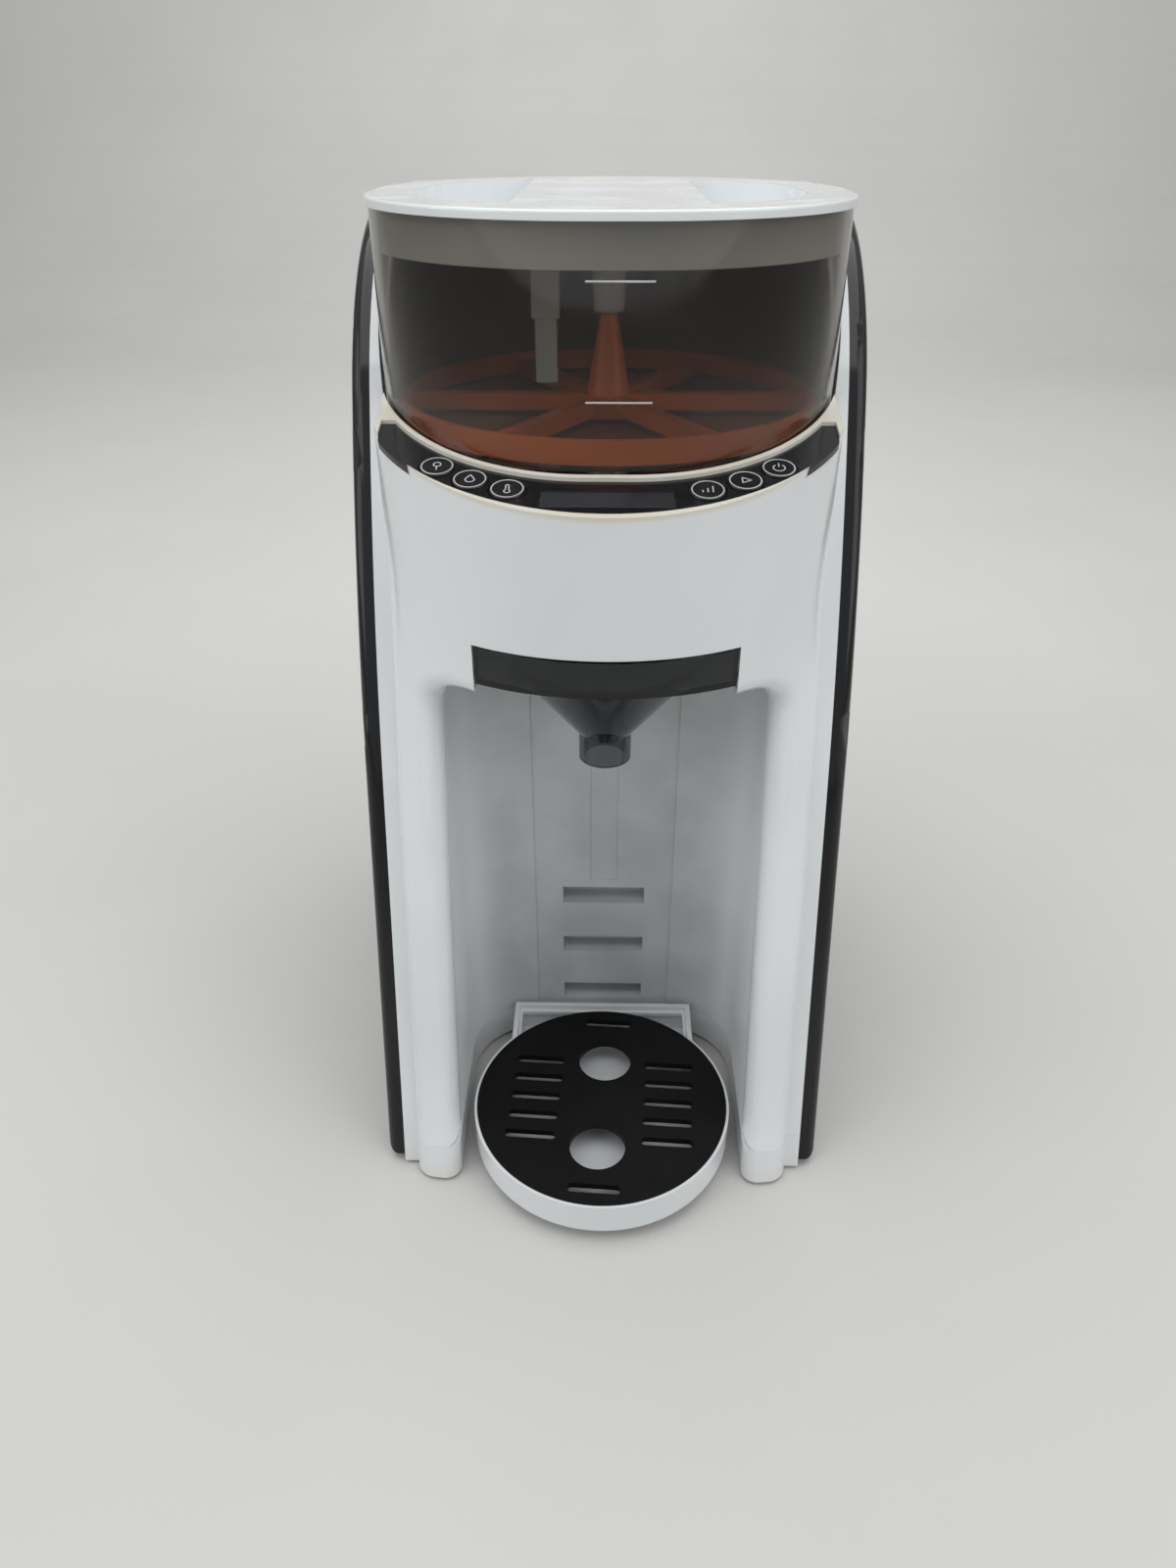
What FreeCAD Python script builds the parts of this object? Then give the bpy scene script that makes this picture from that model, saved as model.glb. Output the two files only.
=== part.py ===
import FreeCAD, Part
import math
import os

from FreeCAD import Vector

# Countertop machine that mixes powder and warm water into a baby bottle.
# Millimetres. Origin: centre of the footprint on the table. +X right, front towards -Y, +Z up.

# Overall sizes
panel_half_width = 92.5
side_panel_thickness = 7.5
body_half_width = panel_half_width - side_panel_thickness
body_back_y = 96.0
rear_centre_y = body_back_y - 22.0
rear_radius = panel_half_width - 1.0
body_top_z = 363.4
reach = 400.0
seat_gap = 0.3
wall = 2.5

# Outline of the black side panels, seen from the side
panel_foot_y = -126.0
panel_foot_z = 4.0
panel_straight_top_z = 170.0
panel_lean = math.radians(13.2)
panel_upper_lean = math.radians(26.6)
panel_bend_radius = 620.0
panel_top_z = 362.0
panel_edge_round = 4.5
strip_ahead = 1.4

# Front shell: head and two legs
front_half_width = body_half_width - 6.0
front_corner = 9.0
leg_inner_x = front_half_width - 19.0
leg_reference_x = front_half_width - front_corner
leg_front_y = -137.0
head_nose_y = -117.4
leg_floor_bow_radius = 700.0
seam_z = 17.0
head_bottom_z = 236.0
head_cut_z = head_bottom_z - 36.0
overlay_cut_z = head_bottom_z + 19.0
head_front_radius = rear_radius - 1.5
head_sag = head_front_radius - math.sqrt(head_front_radius ** 2 - leg_reference_x ** 2)
leg_lean_run = head_nose_y + head_sag - leg_front_y
front_top_z = 330.0
head_forward_lean = 0.09
bay_top_z = 216.0
bay_back_y = -46.0
bay_corner = 28.0
bay_front_round = 6.5
bay_top_corner = 12.0
bay_panel_half_width = leg_inner_x - 29.0
bay_panel_recess = 1.0
bay_groove_half_width = 6.0
bay_groove_depth = 1.4

# Control panel plane, tilted towards the user
panel_plane_y = -121.0
panel_plane_z = 286.5
panel_plane_slope = 0.25
overlay_depth = 2.0
overlay_recess = 1.2
rim_width = 2.6
overlay_edge = 2.2
overlay_tip_y = -64.0

# Powder container and its stirring wheel
axis_y = -14.0
container_half_width = body_half_width - 3.6
container_half_depth = 83.0
container_corner = container_half_width - 7.4
container_wall = 2.4
container_floor_z = 290.0
container_floor = 2.5
container_top_z = 363.6
pocket_gap = 0.8
deck_thickness = 4.0
lid_thickness = 2.9
lid_overhang = 1.2
collar_depth = 13.0
grip_half_width = 30.5
collar_wall = 1.8
wheel_radius = min(container_half_width, container_half_depth) - container_wall - 1.4
wheel_rim = 2.0
wheel_bottom_z = 293.4
wheel_height = 8.0
hub_tip_z = 327.0
hub_tip_radius = 3.2
hub_base_radius = 9.0
spoke_count = 6
spoke_width = 5.0
drive_hex = 6.4
hex_gap = 0.35
floor_hole_radius = 8.0
outlet_y = -76.0
outlet_radius = 10.0
chute_wall = 2.0

# Wheel drive
gear_module = 1.25
gear_teeth = 48
pinion_teeth = 12
gear_bottom_z = 268.0
gear_thickness = 6.0
shaft_radius = 4.0
motor_radius = 18.0
motor_height = 46.0
motor_plate = 3.0
motor_nose_radius = 6.0
bracket_half_depth = 14.0
pinion_stem = 9.0

# Funnel drawer
funnel_half_width = leg_inner_x - 15.0
funnel_back_y = -22.0
funnel_floor_z = 222.0
funnel_wall = 2.0
funnel_axis_y = -78.0
cone_radius = funnel_half_width - 8.0
nozzle_radius = 10.0
nozzle_bore = 8.2
nozzle_top_z = 189.0
nozzle_bottom_z = 178.0

# Drip tray
tray_radius = 55.5
tray_axis_y = -110.0
tray_bottom_z = 5.5
tray_top_z = 21.6
tray_wall = 2.2
tray_back_y = -49.5
tray_back_half_width = 42.0
grid_thickness = 2.6
grid_slot_length = 22.0
grid_slot_width = 4.2
grid_slot_pitch = 10.6
grid_turn = 3.5
grid_hole_radius = 11.7
grid_hole_offsets = (22.5, -25.5)
grid_slot_x = 29.0
shelf_slot_heights = (26.0, 55.0, 84.0)
shelf_slot_half_width = 18.5
shelf_slot_height = 9.0

# Water tank
tank_bottom_z = 129.0
tank_top_z = 353.0
tank_gap = 0.6
tank_wall = 2.6
tank_lid_height = 7.0
tank_hinge_rise = 6.0
tank_hinge_back = 3.4
tank_lug_x = rear_radius - 31.5
tank_hinge_radius = 1.6
knuckle_radius = 3.0
knuckle_half_width = 1.7
knuckle_offset = 5.1
spigot_radius = 9.0
spigot_length = 9.0
spigot_y = rear_centre_y + 48.0
socket_drop = 3.0
socket_height = 16.0
socket_floor = 4.0
seal_thickness = 2.5
spring_radius = 3.1
spring_pitch = 2.6
spring_wire_radius = 0.45

# Buttons: distance from the middle, counted outwards
button_places = (31.3, 43.5, 54.8)
button_radius = 5.8
button_proud = 0.5
button_gap = 0.35
button_travel = 0.6
button_height = 3.4
button_stem_radius = 2.0
switch_gap = button_travel + 0.3
window_half_width = 21.0
window_depth = 8.6

# Feet and screws
foot_height = 2.0
foot_radius = 7.0
foot_x = body_half_width - 15.5
foot_front_y = -112.0
foot_back_y = body_back_y - 14.0
screw_inset = 18.0
screw_head_radius = 2.8
screw_head_height = 1.6
screw_length = 7.5

# Inner parts
hose_radius = 4.0
hose_bore = 2.5
hose_bend = 11.0
inner_x = body_half_width - 41.0
inner_y = body_back_y - 34.0
link_z = 66.0
stub_length = 6.0
heater_radius = 20.0
heater_bottom_z = 60.0
heater_top_z = 170.0
heater_foot_half = 18.0
pump_radius = 17.0
pump_bottom_z = 34.0
pump_top_z = 92.0
pump_foot_half = 16.0
screw_radius = 1.6
spout_x = -22.0
spout_length = 12.5
board_y = (-30.0, 40.0)
board_z = (90.0, 190.0)
board_gap = 4.0
spacer_radius = 3.0
board_thickness = 1.6
board_half_width = 62.0
board_drop = 5.0


def box(x_low, x_high, y_low, y_high, z_low, z_high):
    return Part.makeBox(x_high - x_low, y_high - y_low, z_high - z_low, Vector(x_low, y_low, z_low))


def mirrored_box(half_width, y_low, y_high, z_low, z_high):
    return box(-half_width, half_width, y_low, y_high, z_low, z_high)


def post(x, y, z_low, z_high, radius):
    return Part.makeCylinder(radius, z_high - z_low, Vector(x, y, z_low))


def tube(x, y, z_low, z_high, radius, bore):
    return post(x, y, z_low, z_high, radius).cut(post(x, y, z_low, z_high, bore))


def hexagon(x, y, z_low, z_high, flats):
    corner = flats / math.sqrt(3)
    turns = [math.radians(60 * k) for k in range(7)]
    points = [Vector(x + corner * math.cos(turn), y + corner * math.sin(turn), z_low) for turn in turns]
    return Part.Face(Part.makePolygon(points)).extrude(Vector(0, 0, z_high - z_low))


def mirror(shape):
    return shape.mirror(Vector(0, 0, 0), Vector(1, 0, 0))


def save(name, shape):
    solids = shape.Solids
    if len(solids) == 1:
        shape = solids[0]
    print(name, len(solids), "solids", round(shape.Volume / 1000, 2), "cm3", shape.isValid())
    shape.exportStep("parts/" + name + ".step")


def rounded_prism(half_width, y_low, y_high, corner, z_low, z_high):
    """Upright block with four round corners of one radius."""
    block = mirrored_box(half_width, y_low, y_high, z_low, z_high)
    radius = min(corner, half_width - 0.5, (y_high - y_low) / 2 - 0.5)
    upright = [edge for edge in block.Edges if abs(edge.tangentAt(edge.FirstParameter).z) > 0.99]
    return block.makeFillet(radius, upright)


def container_plan(grow, z_low, z_high):
    """Plan of the powder container, grown all round by grow."""
    half_depth = container_half_depth + grow
    return rounded_prism(container_half_width + grow, axis_y - half_depth, axis_y + half_depth,
                         container_corner + grow, z_low, z_high)


def side_profile(ahead, bottom_z, half_width):
    """Block whose front and top edge follow the side panel outline, moved ahead by a distance."""
    def inward(lean):
        return Vector(0, math.cos(lean), -math.sin(lean))

    foot = Vector(0, panel_foot_y, panel_foot_z)
    rise = panel_straight_top_z - panel_foot_z
    knee = foot + Vector(0, rise * math.tan(panel_lean), rise)
    bend_centre = knee + inward(panel_lean) * panel_bend_radius
    shoulder = bend_centre - inward(panel_upper_lean) * panel_bend_radius
    top_radius = (panel_top_z - shoulder.z) / (1 - math.sin(panel_upper_lean))
    top_centre = shoulder + inward(panel_upper_lean) * top_radius

    def on_bend(lean):
        return bend_centre - inward(lean) * (panel_bend_radius + ahead)

    def on_top(lean):
        return top_centre - inward(lean) * (top_radius + ahead)

    middle_lean = (panel_lean + panel_upper_lean) / 2
    top_middle_lean = (panel_upper_lean + math.pi / 2) / 2
    start = foot - inward(panel_lean) * ahead
    start += Vector(0, -(start.z - bottom_z) * math.tan(panel_lean), bottom_z - start.z)
    back_top = Vector(0, body_back_y, panel_top_z + ahead)
    back_bottom = Vector(0, body_back_y, bottom_z)
    edges = [
        Part.makeLine(start, on_bend(panel_lean)),
        Part.Arc(on_bend(panel_lean), on_bend(middle_lean), on_bend(panel_upper_lean)).toShape(),
        Part.Arc(on_top(panel_upper_lean), on_top(top_middle_lean), on_top(math.pi / 2)).toShape(),
        Part.makeLine(on_top(math.pi / 2), back_top),
        Part.makeLine(back_top, back_bottom),
        Part.makeLine(back_bottom, start),
    ]
    face = Part.Face(Part.Wire(edges))
    face.translate(Vector(-half_width, 0, 0))
    return face.extrude(Vector(2 * half_width, 0, 0))


def rear_outline(shrink, z_low, z_high, front_shrink=None):
    """Round back of the machine behind the body, shrunk by one distance all round."""
    front = body_back_y + (shrink if front_shrink is None else front_shrink)
    radius = rear_radius - shrink
    return post(0, rear_centre_y, z_low, z_high, radius).common(
        mirrored_box(radius, front, rear_centre_y + radius + 1, z_low, z_high))


def head_front_y(z):
    """Foremost line of the head at one height above its lower edge."""
    return head_nose_y - head_forward_lean * (z - head_bottom_z)


def front_section(z, inset):
    """Plan wire of the front shell at one height: bowed front, round corners, straight sides."""
    share = max(0.0, min(1.0, z / head_bottom_z))
    curvature = 1 / leg_floor_bow_radius + (1 / head_front_radius - 1 / leg_floor_bow_radius) * share ** 2
    radius = 1 / curvature
    reference_y = leg_front_y + leg_lean_run * share - head_forward_lean * max(0.0, z - head_bottom_z)
    bow_centre_y = reference_y + math.sqrt(radius ** 2 - leg_reference_x ** 2)
    radius -= inset
    half_width = front_half_width - inset
    corner = max(front_corner - inset, 1.0)
    corner_y = bow_centre_y - math.sqrt((radius - corner) ** 2 - (half_width - corner) ** 2)
    reach = radius / (radius - corner)
    touch = Vector((half_width - corner) * reach, bow_centre_y + (corner_y - bow_centre_y) * reach, z)
    corner_centre = Vector(half_width - corner, corner_y, z)
    side = Vector(half_width, corner_y, z)
    middle = corner_centre + ((touch - corner_centre) + (side - corner_centre)).normalize() * corner
    back_y = -20.0

    def left(point):
        return Vector(-point.x, point.y, point.z)

    return Part.Wire([
        Part.makeLine(Vector(half_width, back_y, z), side),
        Part.Arc(side, middle, touch).toShape(),
        Part.Arc(touch, Vector(0, bow_centre_y - radius, z), left(touch)).toShape(),
        Part.Arc(left(touch), left(middle), left(side)).toShape(),
        Part.makeLine(left(side), Vector(-half_width, back_y, z)),
        Part.makeLine(Vector(-half_width, back_y, z), Vector(half_width, back_y, z)),
    ])


def front_body(inset, z_low, z_high):
    """Solid inside the front shell's outer face, from one height to another."""
    stations = (0.38 * head_bottom_z, 0.68 * head_bottom_z, head_bottom_z)
    middle = [z for z in stations if z_low + 5 < z < z_high - 5]
    heights = [z_low] + middle + [z_high]
    return Part.makeLoft([front_section(z, inset) for z in heights], True, False)


def tilted_slab(low, high):
    """Block between two planes parallel to the control panel, measured up from its face."""
    tilt = math.degrees(math.atan(panel_plane_slope))
    slab = mirrored_box(reach, -reach, reach, low, high)
    slab.rotate(Vector(0, 0, 0), Vector(1, 0, 0), tilt)
    slab.translate(Vector(0, panel_plane_y, panel_plane_z))
    return slab


def panel_point(x, y):
    return Vector(x, y, panel_plane_z + panel_plane_slope * (y - panel_plane_y))


def panel_normal():
    return Vector(0, -panel_plane_slope, 1).normalize()


def bay_block(side_gap, top_gap, back_gap):
    """Space under the head for the bottle, open to the front, with round back corners."""
    back_y = bay_back_y - back_gap
    top_z = bay_top_z - top_gap
    block = mirrored_box(leg_inner_x - side_gap, -reach, back_y, -1.0, top_z)
    back = [edge for edge in block.Edges
            if abs(edge.tangentAt(edge.FirstParameter).z) > 0.99 and edge.CenterOfMass.y > back_y - 1]
    top = [edge for edge in block.Edges
           if abs(edge.tangentAt(edge.FirstParameter).y) > 0.99 and edge.CenterOfMass.z > top_z - 1]
    return block.makeFillet(bay_corner - side_gap, back).common(block.makeFillet(bay_top_corner, top))


def funnel_slot(gap):
    return mirrored_box(funnel_half_width + gap, -reach, funnel_back_y + gap,
                        bay_top_z - 2, head_bottom_z + gap)


def round_bay_front(shell):
    """Rounds the front edges of the legs where they turn into the bay."""
    edges = []
    for edge in shell.Edges:
        middle = edge.CenterOfMass
        at_side = abs(abs(middle.x) - leg_inner_x) < 0.4 and middle.z < bay_top_z and edge.Length > 80
        if at_side and middle.y < bay_back_y - 30:
            edges.append(edge)
    return shell.makeFillet(bay_front_round, edges)


def make_front_shell():
    outer = front_body(0, seam_z, front_top_z)
    solid = round_bay_front(outer.cut(bay_block(0, 0, -60)))
    solid = solid.cut(side_profile(strip_ahead, 0, reach))
    inside = front_body(wall, seam_z - 1, front_top_z + 10)
    inside = inside.cut(tilted_slab(-overlay_recess - overlay_depth - wall, reach))
    bay_wall = bay_block(-wall - bay_front_round + 3, -wall, -60)
    inside = inside.cut(bay_wall)
    shell = solid.cut(inside)
    shell = shell.cut(tilted_slab(0, reach)).cut(container_plan(pocket_gap, head_cut_z, reach))
    shell = shell.cut(funnel_slot(0.5))
    shell = shell.cut(crescent(0.0, -overlay_recess - overlay_depth, 1))
    for x, y in button_centres():
        shell = shell.cut(along_panel(x, y, -15, 5, button_radius + button_gap))
    return shell


def crescent(shrink, low, high):
    """Control panel outline between the container's rim and the head's front edge."""
    plan = front_body(overlay_edge + shrink, overlay_cut_z, front_top_z + 10)
    plan = plan.cut(container_plan(rim_width + shrink, head_cut_z, reach))
    plan = plan.common(mirrored_box(panel_half_width, -reach, overlay_tip_y - shrink, head_cut_z, reach))
    return plan.common(tilted_slab(low, high))


def button_centres():
    centres = []
    bow_centre_y = head_front_y(panel_plane_z) + head_front_radius
    plan_corner_x = container_half_width - container_corner
    plan_corner_y = axis_y - container_half_depth + container_corner
    for side in (-1, 1):
        for place in button_places:
            outer = bow_centre_y - math.sqrt((head_front_radius - overlay_edge) ** 2 - place ** 2)
            reach = container_corner + rim_width
            inner = plan_corner_y - math.sqrt(reach ** 2 - (place - plan_corner_x) ** 2)
            centres.append((side * place, (inner + outer) / 2))
    return centres


def along_panel(x, y, low, high, radius):
    base = panel_point(x, y) + panel_normal() * low
    return Part.makeCylinder(radius, high - low, base, panel_normal())


def window_y():
    return (head_front_y(panel_plane_z) + overlay_edge + axis_y - container_half_depth - rim_width) / 2


def window_block(gap, low, high):
    middle = window_y()
    plan = mirrored_box(window_half_width + gap, middle - window_depth / 2 - gap,
                        middle + window_depth / 2 + gap, head_cut_z, reach)
    return plan.common(tilted_slab(low, high))


def make_control_overlay():
    overlay = crescent(0.15, -overlay_recess - overlay_depth, -overlay_recess)
    overlay = overlay.cut(window_block(0, -10, 5))
    for x, y in button_centres():
        overlay = overlay.cut(along_panel(x, y, -10, 5, button_radius + button_gap))
    return overlay


def board_top():
    """Level of the control board's upper face, measured from the panel plane."""
    return -overlay_recess - overlay_depth - wall - board_drop


def make_button(x, y):
    top = button_proud - overlay_recess
    cap = along_panel(x, y, top - button_height, top, button_radius)
    rim = [edge for edge in cap.Edges
           if edge.Closed and (edge.CenterOfMass - panel_point(x, y)).dot(panel_normal()) > top - 0.1]
    stem = along_panel(x, y, board_top() + switch_gap, top - button_height + 0.5, button_stem_radius)
    return cap.makeFillet(0.5, rim).fuse(stem).removeSplitter()


def make_control_board():
    top = board_top()
    plan = front_body(overlay_edge + 6, head_cut_z, front_top_z + 10)
    plan = plan.cut(container_plan(rim_width + 1.5, head_cut_z, reach))
    plan = plan.common(mirrored_box(board_half_width, -reach, 0, head_cut_z, reach))
    board = plan.common(tilted_slab(top - board_thickness, top))
    spacers = [along_panel(x, window_y(), top - 0.5, top + board_drop, 2.5) for x in (-18.0, 18.0)]
    return board.fuse(spacers).removeSplitter()


def make_main_body():
    outer = side_profile(strip_ahead, seam_z, body_half_width)
    inner = side_profile(strip_ahead - wall, seam_z - 5, body_half_width - wall).cut(
        mirrored_box(reach, body_back_y - wall, reach, 0, reach))
    body = outer.cut(inner)
    body = body.cut(bay_block(-wall - 0.2, -wall - 0.2, -wall - 0.2))
    body = body.cut(mirrored_box(front_half_width - 3, -reach, -20, bay_top_z + 8, container_floor_z - 6))
    body = body.cut(container_plan(pocket_gap, container_floor_z - deck_thickness - 0.2, reach))
    body = body.cut(mirrored_box(funnel_half_width + 0.5, -reach, -40, bay_top_z - 6, head_bottom_z + 6))
    body = body.cut(mirrored_box(inner_x + 14, body_back_y - wall - 1, body_back_y + 1,
                                 link_z - 21, link_z + 24))
    ledge = container_plan(3.0, container_floor_z - deck_thickness - 3, container_floor_z - deck_thickness)
    ledge = ledge.cut(container_plan(-4.0, head_cut_z, reach))
    ledge = ledge.common(mirrored_box(body_half_width, axis_y - 30, body_back_y - 6, head_cut_z, reach))
    ledge = ledge.common(inner)
    pocket = container_plan(pocket_gap + wall, container_floor_z - deck_thickness, body_top_z - 1).common(
        mirrored_box(body_half_width - 1, axis_y + 20, body_back_y - 1, head_cut_z, reach))
    pocket = pocket.cut(container_plan(pocket_gap, head_cut_z, reach))
    body = body.fuse([ledge, pocket]).removeSplitter()
    return body


def make_container_deck():
    low = container_floor_z - deck_thickness
    deck = container_plan(pocket_gap - 0.15, low, container_floor_z - seat_gap)
    deck = deck.cut(post(0, axis_y, low - 1, container_floor_z + 1, shaft_radius + 4.0))
    return deck.cut(post(0, outlet_y, low - 1, container_floor_z + 1, outlet_radius + 1.5))


def make_deck_bearing():
    low = container_floor_z - deck_thickness
    sleeve = tube(0, axis_y, low, container_floor_z - 1, shaft_radius + 4.0, shaft_radius + 0.05)
    flange = tube(0, axis_y, low - 2, low, shaft_radius + 7.0, shaft_radius + 0.05)
    return sleeve.fuse(flange)


def make_side_panel():
    panel = side_profile(0, panel_foot_z, panel_half_width)
    panel = panel.common(box(body_half_width, panel_half_width, -reach, body_back_y, 0, reach))
    outer_edges = [edge for edge in panel.Edges
                   if edge.BoundBox.XMin > panel_half_width - 0.01 and edge.CenterOfMass.y < body_back_y - 1]
    panel = panel.makeFillet(panel_edge_round, outer_edges)
    hollow = side_profile(-3.0 - panel_edge_round, panel_foot_z + 7.0, panel_half_width)
    hollow = hollow.common(box(body_half_width - 1, panel_half_width - 2.6, -reach, body_back_y - 3, 0, reach))
    return panel.cut(hollow)


def make_lower_base():
    z_low = foot_height
    base = front_body(0, 0.0, 40.0).common(mirrored_box(reach, -reach, -60, z_low, seam_z))
    middle = side_profile(strip_ahead, 0, body_half_width)
    middle = middle.common(mirrored_box(reach, -reach, reach, z_low, seam_z))
    rear = rear_outline(wall, z_low, seam_z, -1.0)
    rear = rear.common(mirrored_box(body_half_width, 0, reach, 0, 2 * seam_z))
    base = base.fuse([middle, rear]).removeSplitter()
    base = round_bay_front_low(base.cut(bay_block(0, 0, 0)))
    hollow = side_profile(strip_ahead - 6.0, 0, body_half_width - wall).common(
        mirrored_box(reach, -reach, reach, z_low + wall, seam_z + 1))
    hollow = hollow.cut(bay_block(-wall, -wall, -8))
    hollow = hollow.cut(mirrored_box(reach, body_back_y - 4, reach, 0, 2 * seam_z))
    base = base.cut(hollow)
    return base.cut(tray_tongue(0.4))


def round_bay_front_low(base):
    edges = []
    for edge in base.Edges:
        middle = edge.CenterOfMass
        upright = abs(edge.tangentAt(edge.FirstParameter).z) > 0.9
        if upright and abs(abs(middle.x) - leg_inner_x) < 0.4 and middle.y < bay_back_y - 40:
            edges.append(edge)
    return base.makeFillet(bay_front_round, edges)


def make_bay_liner():
    outer = bay_block(-wall, -wall, -wall)
    liner = outer.cut(bay_block(0, 0, 0))
    liner = liner.common(mirrored_box(reach, -reach, 0, seam_z, 300))
    liner = liner.common(side_profile(strip_ahead - 0.1, 0, reach))
    for z in shelf_slot_heights:
        slot = mirrored_box(shelf_slot_half_width, bay_back_y - 1, bay_back_y + 20,
                            z - shelf_slot_height / 2, z + shelf_slot_height / 2)
        liner = liner.cut(slot)
        pocket = mirrored_box(shelf_slot_half_width + 2, bay_back_y + wall, bay_back_y + wall + 10,
                              z - shelf_slot_height / 2 - 2, z + shelf_slot_height / 2 + 2)
        hollow = mirrored_box(shelf_slot_half_width, bay_back_y, bay_back_y + wall + 8,
                              z - shelf_slot_height / 2, z + shelf_slot_height / 2)
        liner = liner.fuse(pocket.cut(hollow))
    panel = mirrored_box(bay_panel_half_width, bay_back_y - 1, bay_back_y + bay_panel_recess,
                         seam_z - 1, bay_top_z - 6)
    groove = mirrored_box(bay_groove_half_width, bay_back_y - 1, bay_back_y + bay_groove_depth,
                          shelf_slot_heights[-1] + shelf_slot_height, bay_top_z - 8)
    liner = liner.cut(panel).cut(groove)
    cone_path = mirrored_box(cone_radius + 0.6, -reach, funnel_axis_y + cone_radius + 0.6, bay_top_z - 4, 300)
    liner = liner.cut(cone_path)
    rail = box(cone_radius + 1.0, funnel_half_width, -88.0, bay_back_y + wall, bay_top_z + 0.5,
               funnel_floor_z - seat_gap)
    return liner.fuse([rail, mirror(rail)]).removeSplitter()


def make_powder_container():
    outer = container_plan(0, container_floor_z, container_top_z)
    inner = container_plan(-container_wall, container_floor_z + container_floor, container_top_z + 1)
    box_shell = outer.cut(inner)
    low = container_floor_z - 1
    high = container_floor_z + 5
    box_shell = box_shell.cut(post(0, axis_y, low, high, floor_hole_radius))
    return box_shell.cut(post(0, outlet_y, low, high, outlet_radius))


def make_powder_lid():
    low = container_top_z
    plate = container_plan(lid_overhang, low, low + lid_thickness)
    top_edges = [edge for edge in plate.Edges if edge.CenterOfMass.z > low + lid_thickness - 0.01]
    plate = plate.makeFillet(0.9, top_edges)
    dish = container_plan(-16.0, low - 8.0, low + lid_thickness + 1)
    dish = dish.cut(mirrored_box(grip_half_width, -reach, reach, 0, reach))
    cup = container_plan(-14.0, low - 10.0, low + 0.5)
    cup = cup.cut(mirrored_box(grip_half_width - collar_wall, -reach, reach, 0, reach))
    return plate.fuse(cup).cut(dish)


def make_lid_collar():
    """Translucent skirt under the lid, with its latch block, hub post and scraper blade."""
    top = container_top_z
    grow = -container_wall - 0.4
    collar = container_plan(grow, top - collar_depth, top)
    collar = collar.cut(container_plan(grow - collar_wall, head_cut_z, reach))
    web_reach = container_half_depth - 4.0
    web = mirrored_box(11.0, axis_y - web_reach, axis_y + web_reach, top - 4.0, top)
    web = web.common(container_plan(grow - 1, head_cut_z, reach))
    hub = Part.makeCone(5.4, 7.4, top - hub_tip_z - 1.0, Vector(0, axis_y, hub_tip_z + 1.0))
    blade = box(-27.0, -19.0, axis_y - 2.5, axis_y + 2.5, wheel_bottom_z + wheel_height + 2.0, top - 1.0)
    blade = blade.fuse(box(-28.2, -18.0, axis_y - 3.5, axis_y + 3.5, top - 38.0, top - 1.0))
    arm = box(-28.2, 0.0, axis_y - 3.5, axis_y + 3.5, top - 4.0, top)
    latch = box(38.0, 52.0, axis_y - 72.0, axis_y - 60.0, top - 8.0, top - 0.5)
    latch = latch.common(container_plan(grow - 0.5, head_cut_z, reach))
    latch = latch.cut(container_plan(grow - 5.0, head_cut_z, reach))
    return collar.fuse([web, hub, blade, arm, latch]).removeSplitter()


def make_stirring_wheel():
    top = wheel_bottom_z + wheel_height
    rim = tube(0, axis_y, wheel_bottom_z, top, wheel_radius, wheel_radius - wheel_rim)
    centre = Vector(0, axis_y, wheel_bottom_z)
    cone = Part.makeCone(hub_base_radius, hub_tip_radius, hub_tip_z - wheel_bottom_z, centre)
    skirt = Part.makeCone(2 * hub_base_radius - 1.0, hub_base_radius - 1.0, 6.0, centre)
    wheel = rim.fuse([cone, skirt])
    spokes = []
    for number in range(spoke_count):
        spoke = box(4.0, wheel_radius - wheel_rim / 2, -spoke_width / 2, spoke_width / 2,
                    wheel_bottom_z, wheel_bottom_z + wheel_height - 2.0)
        spoke.translate(Vector(0, axis_y, 0))
        spoke.rotate(Vector(0, axis_y, 0), Vector(0, 0, 1), number * 360 / spoke_count)
        spokes.append(spoke)
    spigot = post(0, axis_y, container_floor_z + 0.4, wheel_bottom_z + 1, floor_hole_radius - 0.4)
    wheel = wheel.fuse(spokes + [spigot]).removeSplitter()
    socket = hexagon(0, axis_y, container_floor_z - 1, container_floor_z + 10, drive_hex + 2 * hex_gap)
    return wheel.cut(socket)


def toothed_disc(teeth, y, turn):
    """Spur gear with straight-sided teeth, thinner than half the pitch so that it runs free."""
    pitch_radius = gear_module * teeth / 2
    root = pitch_radius - 1.3 * gear_module
    tip = pitch_radius + 0.9 * gear_module
    root_half = 0.30 * gear_module * math.pi / root
    tip_half = 0.13 * gear_module * math.pi / tip
    points = []
    for tooth in range(teeth):
        middle = 2 * math.pi * (tooth + turn) / teeth
        for radius, angle in ((root, middle - root_half), (tip, middle - tip_half),
                              (tip, middle + tip_half), (root, middle + root_half)):
            points.append(Vector(radius * math.cos(angle), y + radius * math.sin(angle), gear_bottom_z))
    points.append(points[0])
    return Part.Face(Part.makePolygon(points)).extrude(Vector(0, 0, gear_thickness))


def pinion_y():
    return axis_y + gear_module * (gear_teeth + pinion_teeth) / 2


def make_drive_gear():
    gear = toothed_disc(gear_teeth, axis_y, 0.25)
    shaft = post(0, axis_y, gear_bottom_z - 4, container_floor_z - 0.2, shaft_radius)
    coupler = hexagon(0, axis_y, container_floor_z - 0.2, container_floor_z + 8, drive_hex)
    return gear.fuse([shaft, coupler]).removeSplitter()


def make_pinion():
    pinion = toothed_disc(pinion_teeth, pinion_y(), 0.25)
    stem = post(0, pinion_y(), gear_bottom_z - pinion_stem, gear_bottom_z, 2.5)
    return pinion.fuse(stem).removeSplitter()


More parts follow.
